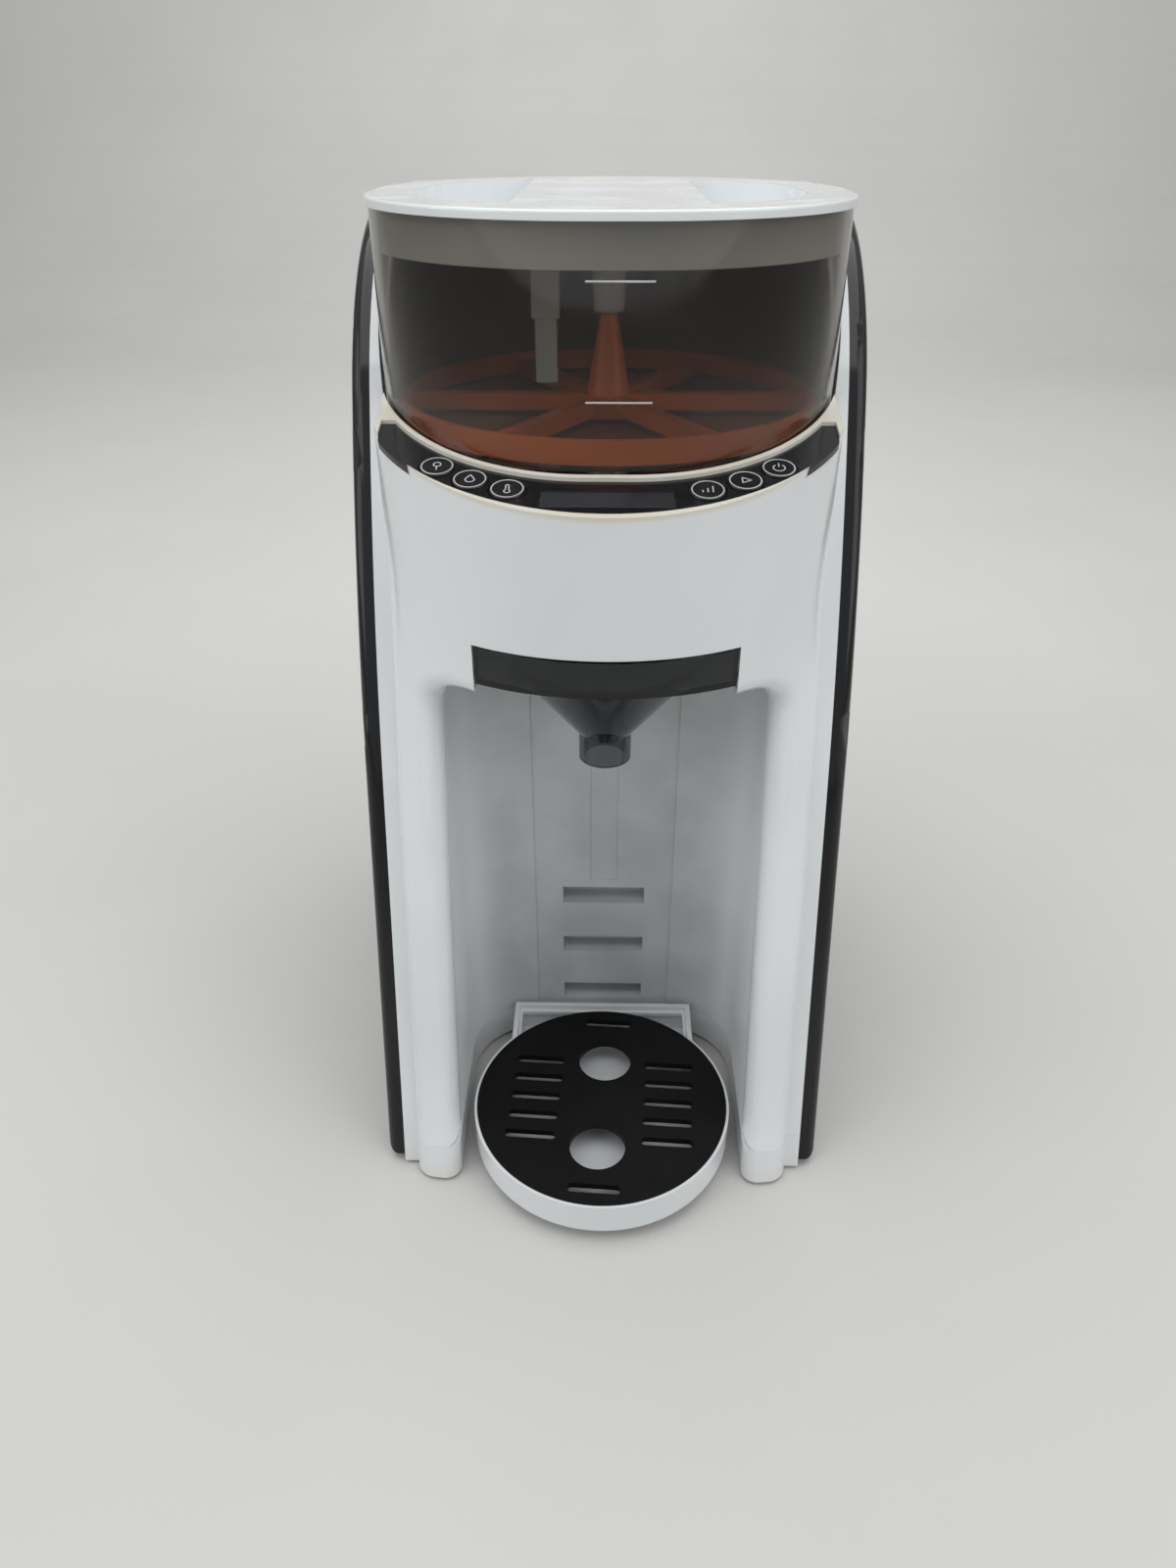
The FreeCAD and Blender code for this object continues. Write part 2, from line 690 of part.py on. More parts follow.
def motor_top_z():
    return gear_bottom_z - pinion_stem - seat_gap


def make_gear_motor():
    top = motor_top_z()
    can = post(0, pinion_y(), top - motor_height, top - motor_plate, motor_radius)
    nose = post(0, pinion_y(), top - motor_plate, top, motor_nose_radius)
    return can.fuse(nose)


def make_motor_bracket():
    top = motor_top_z()
    plate = mirrored_box(body_half_width - wall, pinion_y() - bracket_half_depth, pinion_y() + bracket_half_depth,
                         top - motor_plate, top)
    return plate.cut(post(0, pinion_y(), top - 5, top + 5, motor_nose_radius))


def make_powder_chute():
    low = head_bottom_z + 1.5
    top = container_floor_z - deck_thickness
    bore = outlet_radius + 1.0
    outer = post(0, outlet_y, low, top, bore + chute_wall)
    flange = post(0, outlet_y, top - 2, top, bore + chute_wall + 3.0)
    return outer.fuse(flange).cut(post(0, outlet_y, low - 1, top + 1, bore))


def make_funnel_drawer():
    top = head_bottom_z - 0.4
    block = mirrored_box(funnel_half_width, -reach, funnel_back_y, funnel_floor_z, top)
    block = block.common(front_body(0, head_cut_z, front_top_z))
    cone_height = funnel_floor_z - nozzle_top_z
    cone = Part.makeCone(nozzle_radius, cone_radius, cone_height, Vector(0, funnel_axis_y, nozzle_top_z))
    nozzle = post(0, funnel_axis_y, nozzle_bottom_z, nozzle_top_z, nozzle_radius)
    body = block.fuse([cone, nozzle]).removeSplitter()
    inner = mirrored_box(funnel_half_width - funnel_wall, -reach, funnel_back_y - funnel_wall,
                         funnel_floor_z + funnel_wall, top + 1)
    inner = inner.common(front_body(funnel_wall, head_cut_z, front_top_z))
    inner_cone = Part.makeCone(nozzle_bore, cone_radius - funnel_wall, cone_height + funnel_wall,
                               Vector(0, funnel_axis_y, nozzle_top_z))
    bore = post(0, funnel_axis_y, nozzle_bottom_z - 1, nozzle_top_z + 1, nozzle_bore)
    return body.cut(inner).cut(inner_cone).cut(bore)


def tray_plan(grow, z_low, z_high):
    disc = post(0, tray_axis_y, z_low, z_high, tray_radius + grow)
    back = mirrored_box(tray_back_half_width + grow, tray_axis_y, tray_back_y + grow, z_low, z_high)
    return disc.fuse(back).removeSplitter()


def tray_tongue(gap):
    return mirrored_box(15.0 + gap, tray_back_y - 2, bay_back_y + 9.0 + gap, 7.0 - gap, 12.0 + gap)


def make_drip_tray():
    tray = tray_plan(0, tray_bottom_z, tray_top_z)
    bottom = [edge for edge in tray.Edges if edge.CenterOfMass.z < tray_bottom_z + 0.01]
    tray = tray.makeFillet(3.0, bottom)
    tray = tray.cut(tray_plan(-tray_wall, tray_bottom_z + tray_wall, tray_top_z + 1))
    ledge = tray_plan(-tray_wall, tray_top_z - grid_thickness - 2.0, tray_top_z - grid_thickness)
    ledge = ledge.cut(tray_plan(-tray_wall - 1.5, 0, 40))
    return tray.fuse([ledge, tray_tongue(0)]).removeSplitter()


def slot_hole(x, y, length, width):
    low = tray_top_z - grid_thickness - 1
    high = tray_top_z + 3
    half = (length - width) / 2
    bar = box(x - half, x + half, y - width / 2, y + width / 2, low, high)
    return bar.fuse([post(x - half, y, low, high, width / 2), post(x + half, y, low, high, width / 2)])


def make_tray_grid():
    low = tray_top_z - grid_thickness
    grid = post(0, tray_axis_y, low, low + grid_thickness + 0.4, tray_radius - tray_wall + 1.0)
    grid = grid.common(post(0, tray_axis_y, low, low + 5, tray_radius - tray_wall - 0.4).fuse(
        post(0, tray_axis_y, tray_top_z + 0.02, low + 5, tray_radius)))
    holes = [post(0, tray_axis_y + offset, low - 1, low + 5, grid_hole_radius) for offset in grid_hole_offsets]
    for row in range(5):
        y = tray_axis_y + (row - 2) * grid_slot_pitch
        holes += [slot_hole(x, y, grid_slot_length, grid_slot_width) for x in (-grid_slot_x, grid_slot_x)]
    holes += [slot_hole(0, tray_axis_y + side * (tray_radius - 9.0), grid_slot_length, grid_slot_width)
              for side in (-1, 1)]
    grid = grid.cut(holes[0].fuse(holes[1:]))
    grid.rotate(Vector(0, tray_axis_y, 0), Vector(0, 0, 1), -grid_turn)
    return grid


def make_water_tank():
    outer = rear_outline(tank_gap, tank_bottom_z, tank_top_z)
    inner = rear_outline(tank_gap + tank_wall, tank_bottom_z + tank_wall, tank_top_z + 1)
    low = tank_bottom_z - spigot_length
    tank = outer.cut(inner).fuse(post(0, spigot_y, low, tank_bottom_z + 1, spigot_radius))
    tank = tank.cut(post(0, spigot_y, low - 1, tank_bottom_z + 10, spigot_radius - 3.0))
    ears = [box(x - knuckle_radius, x + knuckle_radius, body_back_y + tank_gap, tank_hinge_y() + knuckle_radius,
                tank_top_z - 1.0, tank_hinge_z() + knuckle_radius)
            for x in (-tank_lug_x, tank_lug_x)]
    return tank.fuse(ears).removeSplitter().cut(hinge_rod(tank_hinge_radius))


def hinge_rod(radius):
    start = Vector(-reach / 2, tank_hinge_y(), tank_hinge_z())
    return Part.makeCylinder(radius, reach, start, Vector(1, 0, 0))


def tank_hinge_y():
    return body_back_y + tank_gap + tank_hinge_back


def tank_hinge_z():
    return tank_top_z + tank_hinge_rise


def make_tank_hinge_pins():
    pins = [hinge_rod(tank_hinge_radius).common(box(x - 7.0, x + 7.0, 0, reach, 0, reach))
            for x in (-tank_lug_x, tank_lug_x)]
    return Part.makeCompound(pins)


def make_tank_lid():
    low = tank_top_z + 0.4
    top = low + tank_lid_height
    front = tank_hinge_y() + knuckle_radius + 1.6
    lid = rear_outline(tank_gap, low, top).common(mirrored_box(reach, front, reach, 0, reach))
    rim = [edge for edge in lid.Edges if edge.CenterOfMass.z > top - 0.01]
    lid = lid.makeFillet(1.2, rim)
    hollow = rear_outline(tank_gap + tank_wall, low - 1, top - wall)
    hollow = hollow.common(mirrored_box(reach, front + wall, reach, 0, reach))
    lid = lid.cut(hollow)
    knuckles = []
    for x in [lug + side * knuckle_offset for lug in (-tank_lug_x, tank_lug_x) for side in (-1, 1)]:
        left = x - knuckle_half_width
        right = x + knuckle_half_width
        barrel = hinge_rod(knuckle_radius).common(box(left, right, 0, reach, 0, reach))
        arm = box(left, right, tank_hinge_y(), front + 0.5, tank_hinge_z() - knuckle_radius, top - 0.8)
        knuckles.append(barrel.fuse(arm))
    return lid.fuse(knuckles).removeSplitter().cut(hinge_rod(tank_hinge_radius + 0.06))


def tank_socket_bottom_z():
    return tank_bottom_z - socket_drop - socket_height


def make_tank_socket():
    low = tank_socket_bottom_z()
    top = low + socket_height
    cup = tube(0, spigot_y, low, top, spigot_radius + seal_thickness + 2.0, hose_radius)
    return cup.cut(post(0, spigot_y, low + socket_floor, top + 1, spigot_radius + seal_thickness))


def make_socket_seal():
    low = tank_socket_bottom_z() + socket_floor
    top = tank_bottom_z - socket_drop - 1.0
    return tube(0, spigot_y, low, top, spigot_radius + seal_thickness, spigot_radius + 0.35)


def make_tank_valve():
    low = tank_bottom_z + tank_wall
    head = post(0, spigot_y, low + 0.2, low + 3.0, spigot_radius)
    stem = post(0, spigot_y, tank_bottom_z - spigot_length + 0.5, low + 1, 1.5)
    stalk = post(0, spigot_y, low + 3.0, low + 18.0, 1.5)
    return head.fuse([stem, stalk]).removeSplitter()


def make_valve_cage():
    low = tank_bottom_z + tank_wall
    ring = tube(0, spigot_y, low, low + 2.0, spigot_radius + 5.0, spigot_radius + 2.0)
    span = spigot_radius + 5.0
    bridge = mirrored_box(2.5, spigot_y - span, spigot_y + span, low + 17.0, low + 19.0)
    legs = [box(-2.5, 2.5, y - 1.2, y + 1.2, low, low + 19.0)
            for y in (spigot_y - spigot_radius - 3.6, spigot_y + spigot_radius + 3.6)]
    return ring.fuse([bridge] + legs).removeSplitter().cut(post(0, spigot_y, low + 10, low + 25, 1.9))


def make_valve_spring():
    """Coil between the valve's head and the cage's bridge."""
    low = tank_bottom_z + tank_wall + 3.0 + spring_wire_radius
    helix = Part.makeHelix(spring_pitch, 14.0 - 2 * spring_wire_radius, spring_radius)
    profile = Part.Wire(Part.makeCircle(spring_wire_radius, Vector(spring_radius, 0, 0), Vector(0, 1, 0)))
    coil = Part.Wire(helix).makePipeShell([profile], True, True)
    coil.translate(Vector(0, spigot_y, low))
    return coil


def make_rear_cover():
    top = tank_bottom_z - seat_gap
    outer = rear_outline(0, seam_z + 0.2, top)
    inner = rear_outline(wall, seam_z - 1, top - wall)
    cover = outer.cut(inner)
    cover = cover.cut(mirrored_box(rear_radius - 16, body_back_y - 1, body_back_y + wall + 1,
                                   seam_z + 20, top - 30))
    cover = cover.cut(post(0, spigot_y, top - 10, top + 1, spigot_radius + 4.6))
    for row in range(5):
        z = 60.0 + row * 9.0
        cover = cover.cut(mirrored_box(26.0, spigot_y, reach, z, z + 4.0))
    return cover.cut(inlet_block(0.1, 40.0))


def inlet_block(gap, depth):
    back = rear_centre_y + rear_radius
    return mirrored_box(12.0 + gap, back - depth, back + 5, 28.0 - gap, 46.0 + gap)


def make_power_inlet():
    back = rear_centre_y + rear_radius
    inlet = mirrored_box(12.0, back - 22.0, back - 0.8, 28.0, 46.0)
    inlet = inlet.cut(mirrored_box(9.5, back - 16.0, back + 1, 31.0, 43.0))
    pins = [Part.makeCylinder(1.2, 14.0, Vector(x, back - 18.0, 37.0), Vector(0, 1, 0)) for x in (-4.5, 4.5)]
    return inlet.fuse(pins)


def foot_places():
    return [(x, y) for x in (-foot_x, foot_x) for y in (foot_front_y, foot_back_y)]


def make_rubber_feet():
    return Part.makeCompound([post(x, y, 0, foot_height, foot_radius) for x, y in foot_places()])


def make_base_screws():
    screws = []
    low = foot_height + wall
    neck = low + screw_head_height
    for x, y in foot_places():
        screw_y = y + screw_inset if y < 0 else y - screw_inset
        head = post(x, screw_y, low, neck, screw_head_radius)
        screws.append(head.fuse(post(x, screw_y, neck, low + screw_length, screw_radius)))
    return Part.makeCompound(screws)


def side_stub(x, y, toward_x, toward_y):
    """Hose stub that leaves a round housing sideways at the height of the link hose."""
    direction = Vector(toward_x, toward_y, 0)
    return Part.makeCylinder(hose_radius, stub_length + hose_radius, Vector(x, y, link_z), direction)


def inner_foot(x, half, top_z):
    return box(x - half, x + half, inner_y - half, inner_y + half, foot_height + wall, top_z)


def heater_stub_top_z():
    return heater_top_z + stub_length


def make_heater():
    shell = post(-inner_x, inner_y, heater_bottom_z, heater_top_z, heater_radius)
    outlet = post(-inner_x, inner_y, heater_top_z, heater_stub_top_z(), hose_radius)
    inlet = side_stub(heater_radius - hose_radius - inner_x, inner_y, 1, 0)
    foot = inner_foot(-inner_x, heater_foot_half, heater_bottom_z)
    return shell.fuse([outlet, inlet, foot]).removeSplitter()


def make_pump():
    body = post(inner_x, inner_y, pump_bottom_z, pump_top_z, pump_radius)
    inlet = side_stub(inner_x, inner_y + pump_radius - hose_radius, 0, 1)
    outlet = side_stub(inner_x - pump_radius + hose_radius, inner_y, -1, 0)
    return body.fuse([inlet, outlet, inner_foot(inner_x, pump_foot_half, pump_bottom_z)]).removeSplitter()


def hose(points):
    """Round hose along straight runs joined by tangent arcs of one radius."""
    bend = hose_bend
    edges = []
    start = points[0]
    for before, corner, after in zip(points, points[1:], points[2:]):
        arriving = (corner - before).normalize()
        leaving = (after - corner).normalize()
        turn = arriving.getAngle(leaving)
        setback = bend * math.tan(turn / 2)
        arc_start = corner - arriving * setback
        arc_end = corner + leaving * setback
        to_centre = (leaving - arriving).normalize()
        centre = corner + to_centre * (bend / math.cos(turn / 2))
        edges.append(Part.makeLine(start, arc_start))
        edges.append(Part.Arc(arc_start, centre - to_centre * bend, arc_end).toShape())
        start = arc_end
    edges.append(Part.makeLine(start, points[-1]))
    path = Part.Wire(edges)
    direction = points[1] - points[0]
    profile = Part.Wire(Part.makeCircle(hose_radius, points[0], direction))
    return path.makePipeShell([profile], True, False)


def make_pump_hose():
    turn_y = spigot_y - hose_bend
    points = [Vector(0, spigot_y, tank_socket_bottom_z()), Vector(0, spigot_y, link_z),
              Vector(inner_x, turn_y, link_z), Vector(inner_x, inner_y + pump_radius + stub_length, link_z)]
    return hose(points)


def make_heater_hose():
    start = heater_radius + stub_length - inner_x
    end = inner_x - pump_radius - stub_length
    return Part.makeCylinder(hose_radius, end - start, Vector(start, inner_y, link_z), Vector(1, 0, 0))


def make_power_board():
    outer_x = body_half_width - wall - board_gap
    inner_face_x = outer_x - board_thickness
    board = box(inner_face_x, outer_x, *board_y, *board_z)
    low_y, high_y = board_y
    low_z, high_z = board_z
    blocks = [box(inner_face_x - depth, inner_face_x, low_y + y, low_y + y + 20, low_z + z, low_z + z + 22)
              for y, z, depth in ((6, 10, 16), (40, 10, 12), (6, 50, 9))]
    margin = spacer_radius + 2
    spacers = [Part.makeCylinder(spacer_radius, board_gap, Vector(outer_x, y, z), Vector(1, 0, 0))
               for y in (low_y + margin, high_y - margin) for z in (low_z + margin, high_z - margin)]
    return board.fuse(blocks + spacers).removeSplitter()


def spout_y():
    return outlet_y + 6.0


def make_water_spout():
    """Short outlet beside the powder chute, held to it by an arm."""
    low = head_bottom_z + 1.5
    spout = post(spout_x, spout_y(), low, low + spout_length, hose_radius)
    arm = box(spout_x, -outlet_radius, spout_y() - 2.5, spout_y() + 2.5, low + 2.0, low + 7.0)
    arm = arm.cut(post(0, outlet_y, low - 1, low + 20, outlet_radius + chute_wall + 1.0))
    bore = post(spout_x, spout_y(), low - 1, low + spout_length - 2, hose_bore)
    return spout.fuse(arm).removeSplitter().cut(bore)


def make_spout_hose():
    over_bracket_z = motor_top_z() + motor_plate + hose_radius + 3.0
    points = [Vector(-inner_x, inner_y, heater_stub_top_z()), Vector(-inner_x, inner_y, over_bracket_z),
              Vector(-inner_x, -10.0, over_bracket_z), Vector(spout_x, spout_y(), over_bracket_z + 2),
              Vector(spout_x, spout_y(), head_bottom_z + 1.5 + spout_length)]
    return hose(points)


def main():
    os.makedirs("parts", exist_ok=True)
    save("front_shell", make_front_shell())
    save("main_body", make_main_body())
    panel = make_side_panel()
    save("side_panel_right", panel)
    save("side_panel_left", mirror(panel))
    save("lower_base", make_lower_base())
    save("bay_liner", make_bay_liner())
    save("rear_cover", make_rear_cover())
    save("control_overlay", make_control_overlay())
    save("display_window", window_block(-0.15, -overlay_recess - overlay_depth, -overlay_recess - 0.2))
    save("control_board", make_control_board())
    names = ("temperature_button", "water_button", "powder_button",
             "volume_button", "start_button", "power_button")
    for name, centre in zip(names, button_centres()):
        save(name, make_button(*centre))
    save("container_deck", make_container_deck())
    save("deck_bearing", make_deck_bearing())
    save("powder_container", make_powder_container())
    save("powder_lid", make_powder_lid())
    save("lid_collar", make_lid_collar())
    save("stirring_wheel", make_stirring_wheel())
    save("drive_gear", make_drive_gear())
    save("pinion", make_pinion())
    save("gear_motor", make_gear_motor())
    save("motor_bracket", make_motor_bracket())
    save("powder_chute", make_powder_chute())
    save("funnel_drawer", make_funnel_drawer())
    save("drip_tray", make_drip_tray())
    save("tray_grid", make_tray_grid())
    save("water_tank", make_water_tank())
    save("tank_lid", make_tank_lid())
    save("tank_hinge_pins", make_tank_hinge_pins())
    save("tank_valve", make_tank_valve())
    save("valve_cage", make_valve_cage())
    save("valve_spring", make_valve_spring())
    save("tank_socket", make_tank_socket())
    save("socket_seal", make_socket_seal())
    save("power_inlet", make_power_inlet())
    save("rubber_feet", make_rubber_feet())
    save("base_screws", make_base_screws())
    save("heater", make_heater())
    save("pump", make_pump())
    save("pump_hose", make_pump_hose())
    save("heater_hose", make_heater_hose())
    save("water_spout", make_water_spout())
    save("spout_hose", make_spout_hose())
    save("power_board", make_power_board())


main()
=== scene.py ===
"""Looks of a countertop baby formula maker: materials, printed marks, studio and camera.

Metres, +Z up, front towards -Y. Every new piece is a profile carried along a path.
"""

import math

import bpy
import numpy as np
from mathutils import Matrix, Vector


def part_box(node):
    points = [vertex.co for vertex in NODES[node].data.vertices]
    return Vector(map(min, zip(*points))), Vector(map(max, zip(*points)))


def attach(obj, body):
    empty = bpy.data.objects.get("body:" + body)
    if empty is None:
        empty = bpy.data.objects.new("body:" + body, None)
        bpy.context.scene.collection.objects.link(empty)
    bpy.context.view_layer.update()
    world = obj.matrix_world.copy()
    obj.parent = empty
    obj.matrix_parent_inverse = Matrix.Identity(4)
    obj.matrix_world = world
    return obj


bl_info = {
    "name": "Baby formula maker looks",
    "version": (1, 0, 0),
    "blender": (4, 5, 0),
    "location": "3D View > Sidebar > Formula Maker",
    "description": "Materials, printed marks, studio and camera for a baby formula maker",
    "category": "Object",
}

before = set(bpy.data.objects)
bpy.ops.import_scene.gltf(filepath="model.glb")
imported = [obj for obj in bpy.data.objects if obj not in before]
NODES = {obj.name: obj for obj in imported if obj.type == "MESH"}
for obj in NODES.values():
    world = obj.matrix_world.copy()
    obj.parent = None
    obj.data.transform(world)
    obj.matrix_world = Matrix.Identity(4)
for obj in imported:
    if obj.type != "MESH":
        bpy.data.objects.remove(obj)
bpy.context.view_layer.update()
MILLIMETRE = 0.001

# Panel plane of the controls: rise per run, a point on it, and its directions across, up and out
PANEL_SLOPE = 0.25
PANEL_POINT = np.array([0.0, -0.121, 0.2865])
PANEL_ACROSS = np.array([1.0, 0.0, 0.0])
PANEL_UP = np.array([0.0, 1.0, PANEL_SLOPE]) / math.hypot(1.0, PANEL_SLOPE)
PANEL_OUT = np.array([0.0, -PANEL_SLOPE, 1.0]) / math.hypot(1.0, PANEL_SLOPE)

# Buttons: radius of the cap and of its flat top, and how deep a mark sits in it
BUTTONS = ("temperature_button", "water_button", "powder_button",
           "start_button", "volume_button", "power_button")
CAP_RADIUS = 0.0058
CAP_TOP_RADIUS = 0.0053
MARK_SINK = 0.00012

# Directions in which the plastic ages, and in which painted shade deepens into the bay
REARWARD = (0.0, 1.0, 0.0)
UPWARD = (0.0, 0.0, 1.0)
DOWNWARD = (0.0, 0.0, -1.0)

# Area lights: where each stands, what it looks at, the setting with its power, and its share of full size
LAMP_SIZE = 1.5
LAMPS = {
    "key": {"place": (0.0, -0.1, 1.35), "aim": (0.0, 0.0, 0.0), "power": "key", "share": 1.0},
    "backdrop_light": {"place": (0.0, 1.0, 1.9), "aim": (0.0, 2.6, 0.7), "power": "backdrop", "share": 1.0},
    "left": {"place": (-1.2, -0.6, 0.8), "aim": (0.0, 0.0, 0.15), "power": "fill", "share": 0.7},
    "right": {"place": (1.2, -0.7, 0.8), "aim": (0.0, 0.0, 0.15), "power": "fill", "share": 0.7},
}


# Settings

def colour(name, text, default):
    return bpy.props.FloatVectorProperty(
        name=name, description=text, subtype="COLOR", size=3, min=0.0, max=1.0, default=default)


def length(name, text, default):
    return bpy.props.FloatProperty(
        name=name, description=text, unit="LENGTH", subtype="DISTANCE", default=default, precision=5)


def factor(name, text, default):
    return bpy.props.FloatProperty(
        name=name, description=text, subtype="FACTOR", min=0.0, max=1.0, default=default)


def power(name, text, default):
    return bpy.props.FloatProperty(name=name, description=text, unit="POWER", default=default)


def angle(name, text, degrees):
    return bpy.props.FloatProperty(
        name=name, description=text, subtype="ANGLE", default=math.radians(degrees))


class ShellSettings(bpy.types.PropertyGroup):
    white: colour("White", "Colour of the fresh white plastic", (0.845, 0.872, 0.885))
    # Cream also tints the front shell's rim as a painted highlight
    cream: colour("Cream", "Colour of the plastic where it has yellowed", (0.74, 0.66, 0.47))
    black: colour("Black", "Colour of the side panels and the control face", (0.006, 0.006, 0.007))
    grid: colour("Grid", "Colour of the matt tray grid", (0.005, 0.005, 0.0055))
    window: colour("Window", "Colour of the switched off display", (0.028, 0.030, 0.033))
    gloss: factor("Roughness", "Lowest roughness of the polished plastic", 0.10)
    smear: factor("Smears", "How much rougher the polished plastic is where it is smeared", 0.14)


class ClearSettings(bpy.types.PropertyGroup):
    smoke: colour("Smoke", "Colour light takes at each face of the container", (0.56, 0.53, 0.50))
    funnel: colour("Funnel", "Colour light takes at each face of the funnel", (0.17, 0.185, 0.20))
    tank: colour("Tank", "Colour light takes at each face of the water tank", (0.80, 0.86, 0.88))
    frost: colour("Frost", "Colour of the cloudy collar under the lid", (0.60, 0.635, 0.60))
    wheel: colour("Wheel", "Colour of the stirring wheel", (0.74, 0.17, 0.018))


class InnerSettings(bpy.types.PropertyGroup):
    grey: colour("Grey", "Colour of the inner mouldings", (0.30, 0.31, 0.32))
    steel: colour("Steel", "Colour of the bare metal", (0.55, 0.55, 0.54))
    board: colour("Board", "Colour of the circuit boards", (0.02, 0.10, 0.045))
    foot: colour("Foot", "Colour of the rubber feet", (0.018, 0.018, 0.018))
    seal: colour("Seal", "Colour of the tank's seal", (0.30, 0.30, 0.30))
    hose: colour("Hose", "Colour of the hoses", (0.66, 0.66, 0.62))
    inlet: colour("Inlet", "Colour of the mains inlet and the pump", (0.012, 0.012, 0.012))


class MarkSettings(bpy.types.PropertyGroup):
    ring_radius: length("Ring radius", "Radius of the pale ring on a button", 0.0050)
    stroke: length("Stroke", "Width of a printed stroke", 0.00042)
    thickness: length("Thickness", "Height of a printed stroke above its surface", 0.00006)
    level_stroke: length("Level stroke", "Width of a level line", 0.000588)
    level_thickness: length("Level thickness", "Height of a level line above its surface", 0.00012)
    line_left: length("Line start", "Left end of a level line", -0.007)
    line_right: length("Line end", "Right end of a level line", 0.0135)
    low_level: length("Low level", "Height of the lower level line", 0.314)
    full_level: length("Full level", "Height of the upper level line", 0.348)
    flat_half: length("Flat", "Half width of the flat middle of the container's front", 0.0074)
    bow: length("Bow", "Radius of the container's front corners", 0.074)
    tank_middle: length("Tank middle", "Centre of the tank's round back, behind the origin", 0.074)
    tank_low: length("Tank low", "Height of the lowest mark on the tank", 0.16)
    tank_high: length("Tank high", "Height of the highest mark on the tank", 0.33)
    tank_marks: bpy.props.IntProperty(
        name="Tank marks", description="Number of marks on the tank", default=8)
    tank_start: angle("Tank start", "Turn at which the tank's marks start", 78.0)
    tank_short: angle("Tank short", "Turn at which a short mark ends", 90.0)
    tank_long: angle("Tank long", "Turn at which a long mark ends", 102.0)
    pale: colour("Print", "Colour of the printed marks", (0.62, 0.63, 0.62))


class StudioSettings(bpy.types.PropertyGroup):
    focal: bpy.props.FloatProperty(
        name="Lens", description="Focal length in millimetres", unit="CAMERA", default=24.975)
    film: bpy.props.FloatProperty(
        name="Film", description="Sensor width in millimetres", unit="CAMERA", default=36.0)
    tilt: angle("Tilt", "Camera's turn from looking straight down", 58.0)
    turn: angle("Turn", "Camera's turn about the vertical", 1.03)
    camera_back: length("Distance", "Camera's distance in front of the origin", 0.441)
    camera_height: length("Height", "Camera's height above the table", 0.3915)
    key: power("Key light", "Power of the large overhead light", 12.6)
    fill: power("Fill light", "Power of each side light", 4.5)
    backdrop: power("Backdrop light", "Power of the light that falls on the backdrop only", 18.5)
    ambient: factor("Ambient", "Strength of the even light from all round", 0.31)
    seen: factor("Seen surroundings", "Strength of the surroundings where they are seen", 0.66)
    sky: colour("Surroundings", "Colour of the surroundings", (0.96, 0.98, 1.0))
    floor: colour("Floor", "Colour of the floor", (0.665, 0.662, 0.640))
    floor_half_width: length("Floor half width", "Half the width of floor and backdrop", 14.0)
    floor_front: length("Floor front", "How far the floor reaches in front of the origin", 2.4)
    backdrop_start: length("Backdrop start", "Where the floor starts to rise, behind the origin", 1.6)
    backdrop_round: length("Backdrop round", "Radius of the rise from floor to backdrop", 1.0)
    backdrop_top: length("Backdrop top", "Height of the backdrop", 3.0)


# Shader groups

def socket(tree, name, kind, default=None, out=False):
    made = tree.interface.new_socket(
        name=name, in_out="OUTPUT" if out else "INPUT", socket_type="NodeSocket" + kind)
    if default is not None:
        made.default_value = default


def new_group(name, inputs, outputs):
    """Empty node group with named sockets, and its input and output nodes."""
    tree = bpy.data.node_groups.new(name, "ShaderNodeTree")
    for label, kind, default in inputs:
        socket(tree, label, kind, default)
    for label, kind in outputs:
        socket(tree, label, kind, out=True)
    return tree, tree.nodes.new("NodeGroupInput"), tree.nodes.new("NodeGroupOutput")


def feed(tree, place, value):
    """Links a socket to an input, or sets the input to a plain value."""
    if isinstance(value, bpy.types.NodeSocket):
        tree.links.new(value, place)
    else:
        place.default_value = value


def math_node(tree, operation, first, second, clamp=False):
    node = tree.nodes.new("ShaderNodeMath")
    node.operation = operation
    node.use_clamp = clamp
    feed(tree, node.inputs[0], first)
    feed(tree, node.inputs[1], second)
    return node.outputs[0]


def dot_node(tree, first, second):
    node = tree.nodes.new("ShaderNodeVectorMath")
    node.operation = "DOT_PRODUCT"
    feed(tree, node.inputs[0], first)
    feed(tree, node.inputs[1], second)
    return node.outputs["Value"]


def mix_colour(tree, share, first, second):
    node = tree.nodes.new("ShaderNodeMix")
    node.data_type = "RGBA"
    for index, value in ((0, share), (6, first), (7, second)):
        feed(tree, node.inputs[index], value)
    return node.outputs[2]


def noise(tree, coord, scale, detail):
    node = tree.nodes.new("ShaderNodeTexNoise")
    node.inputs["Detail"].default_value = detail
    feed(tree, node.inputs["Vector"], coord)
    feed(tree, node.inputs["Scale"], scale)
    return node.outputs[0]


def spread(tree, value, low, high, to_low=0.0, to_high=1.0):
    """Smooth step of a value from low..high to to_low..to_high."""
    node = tree.nodes.new("ShaderNodeMapRange")
    node.interpolation_type = "SMOOTHSTEP"
    for index, item in enumerate((value, low, high, to_low, to_high)):
        feed(tree, node.inputs[index], item)
    return node.outputs[0]


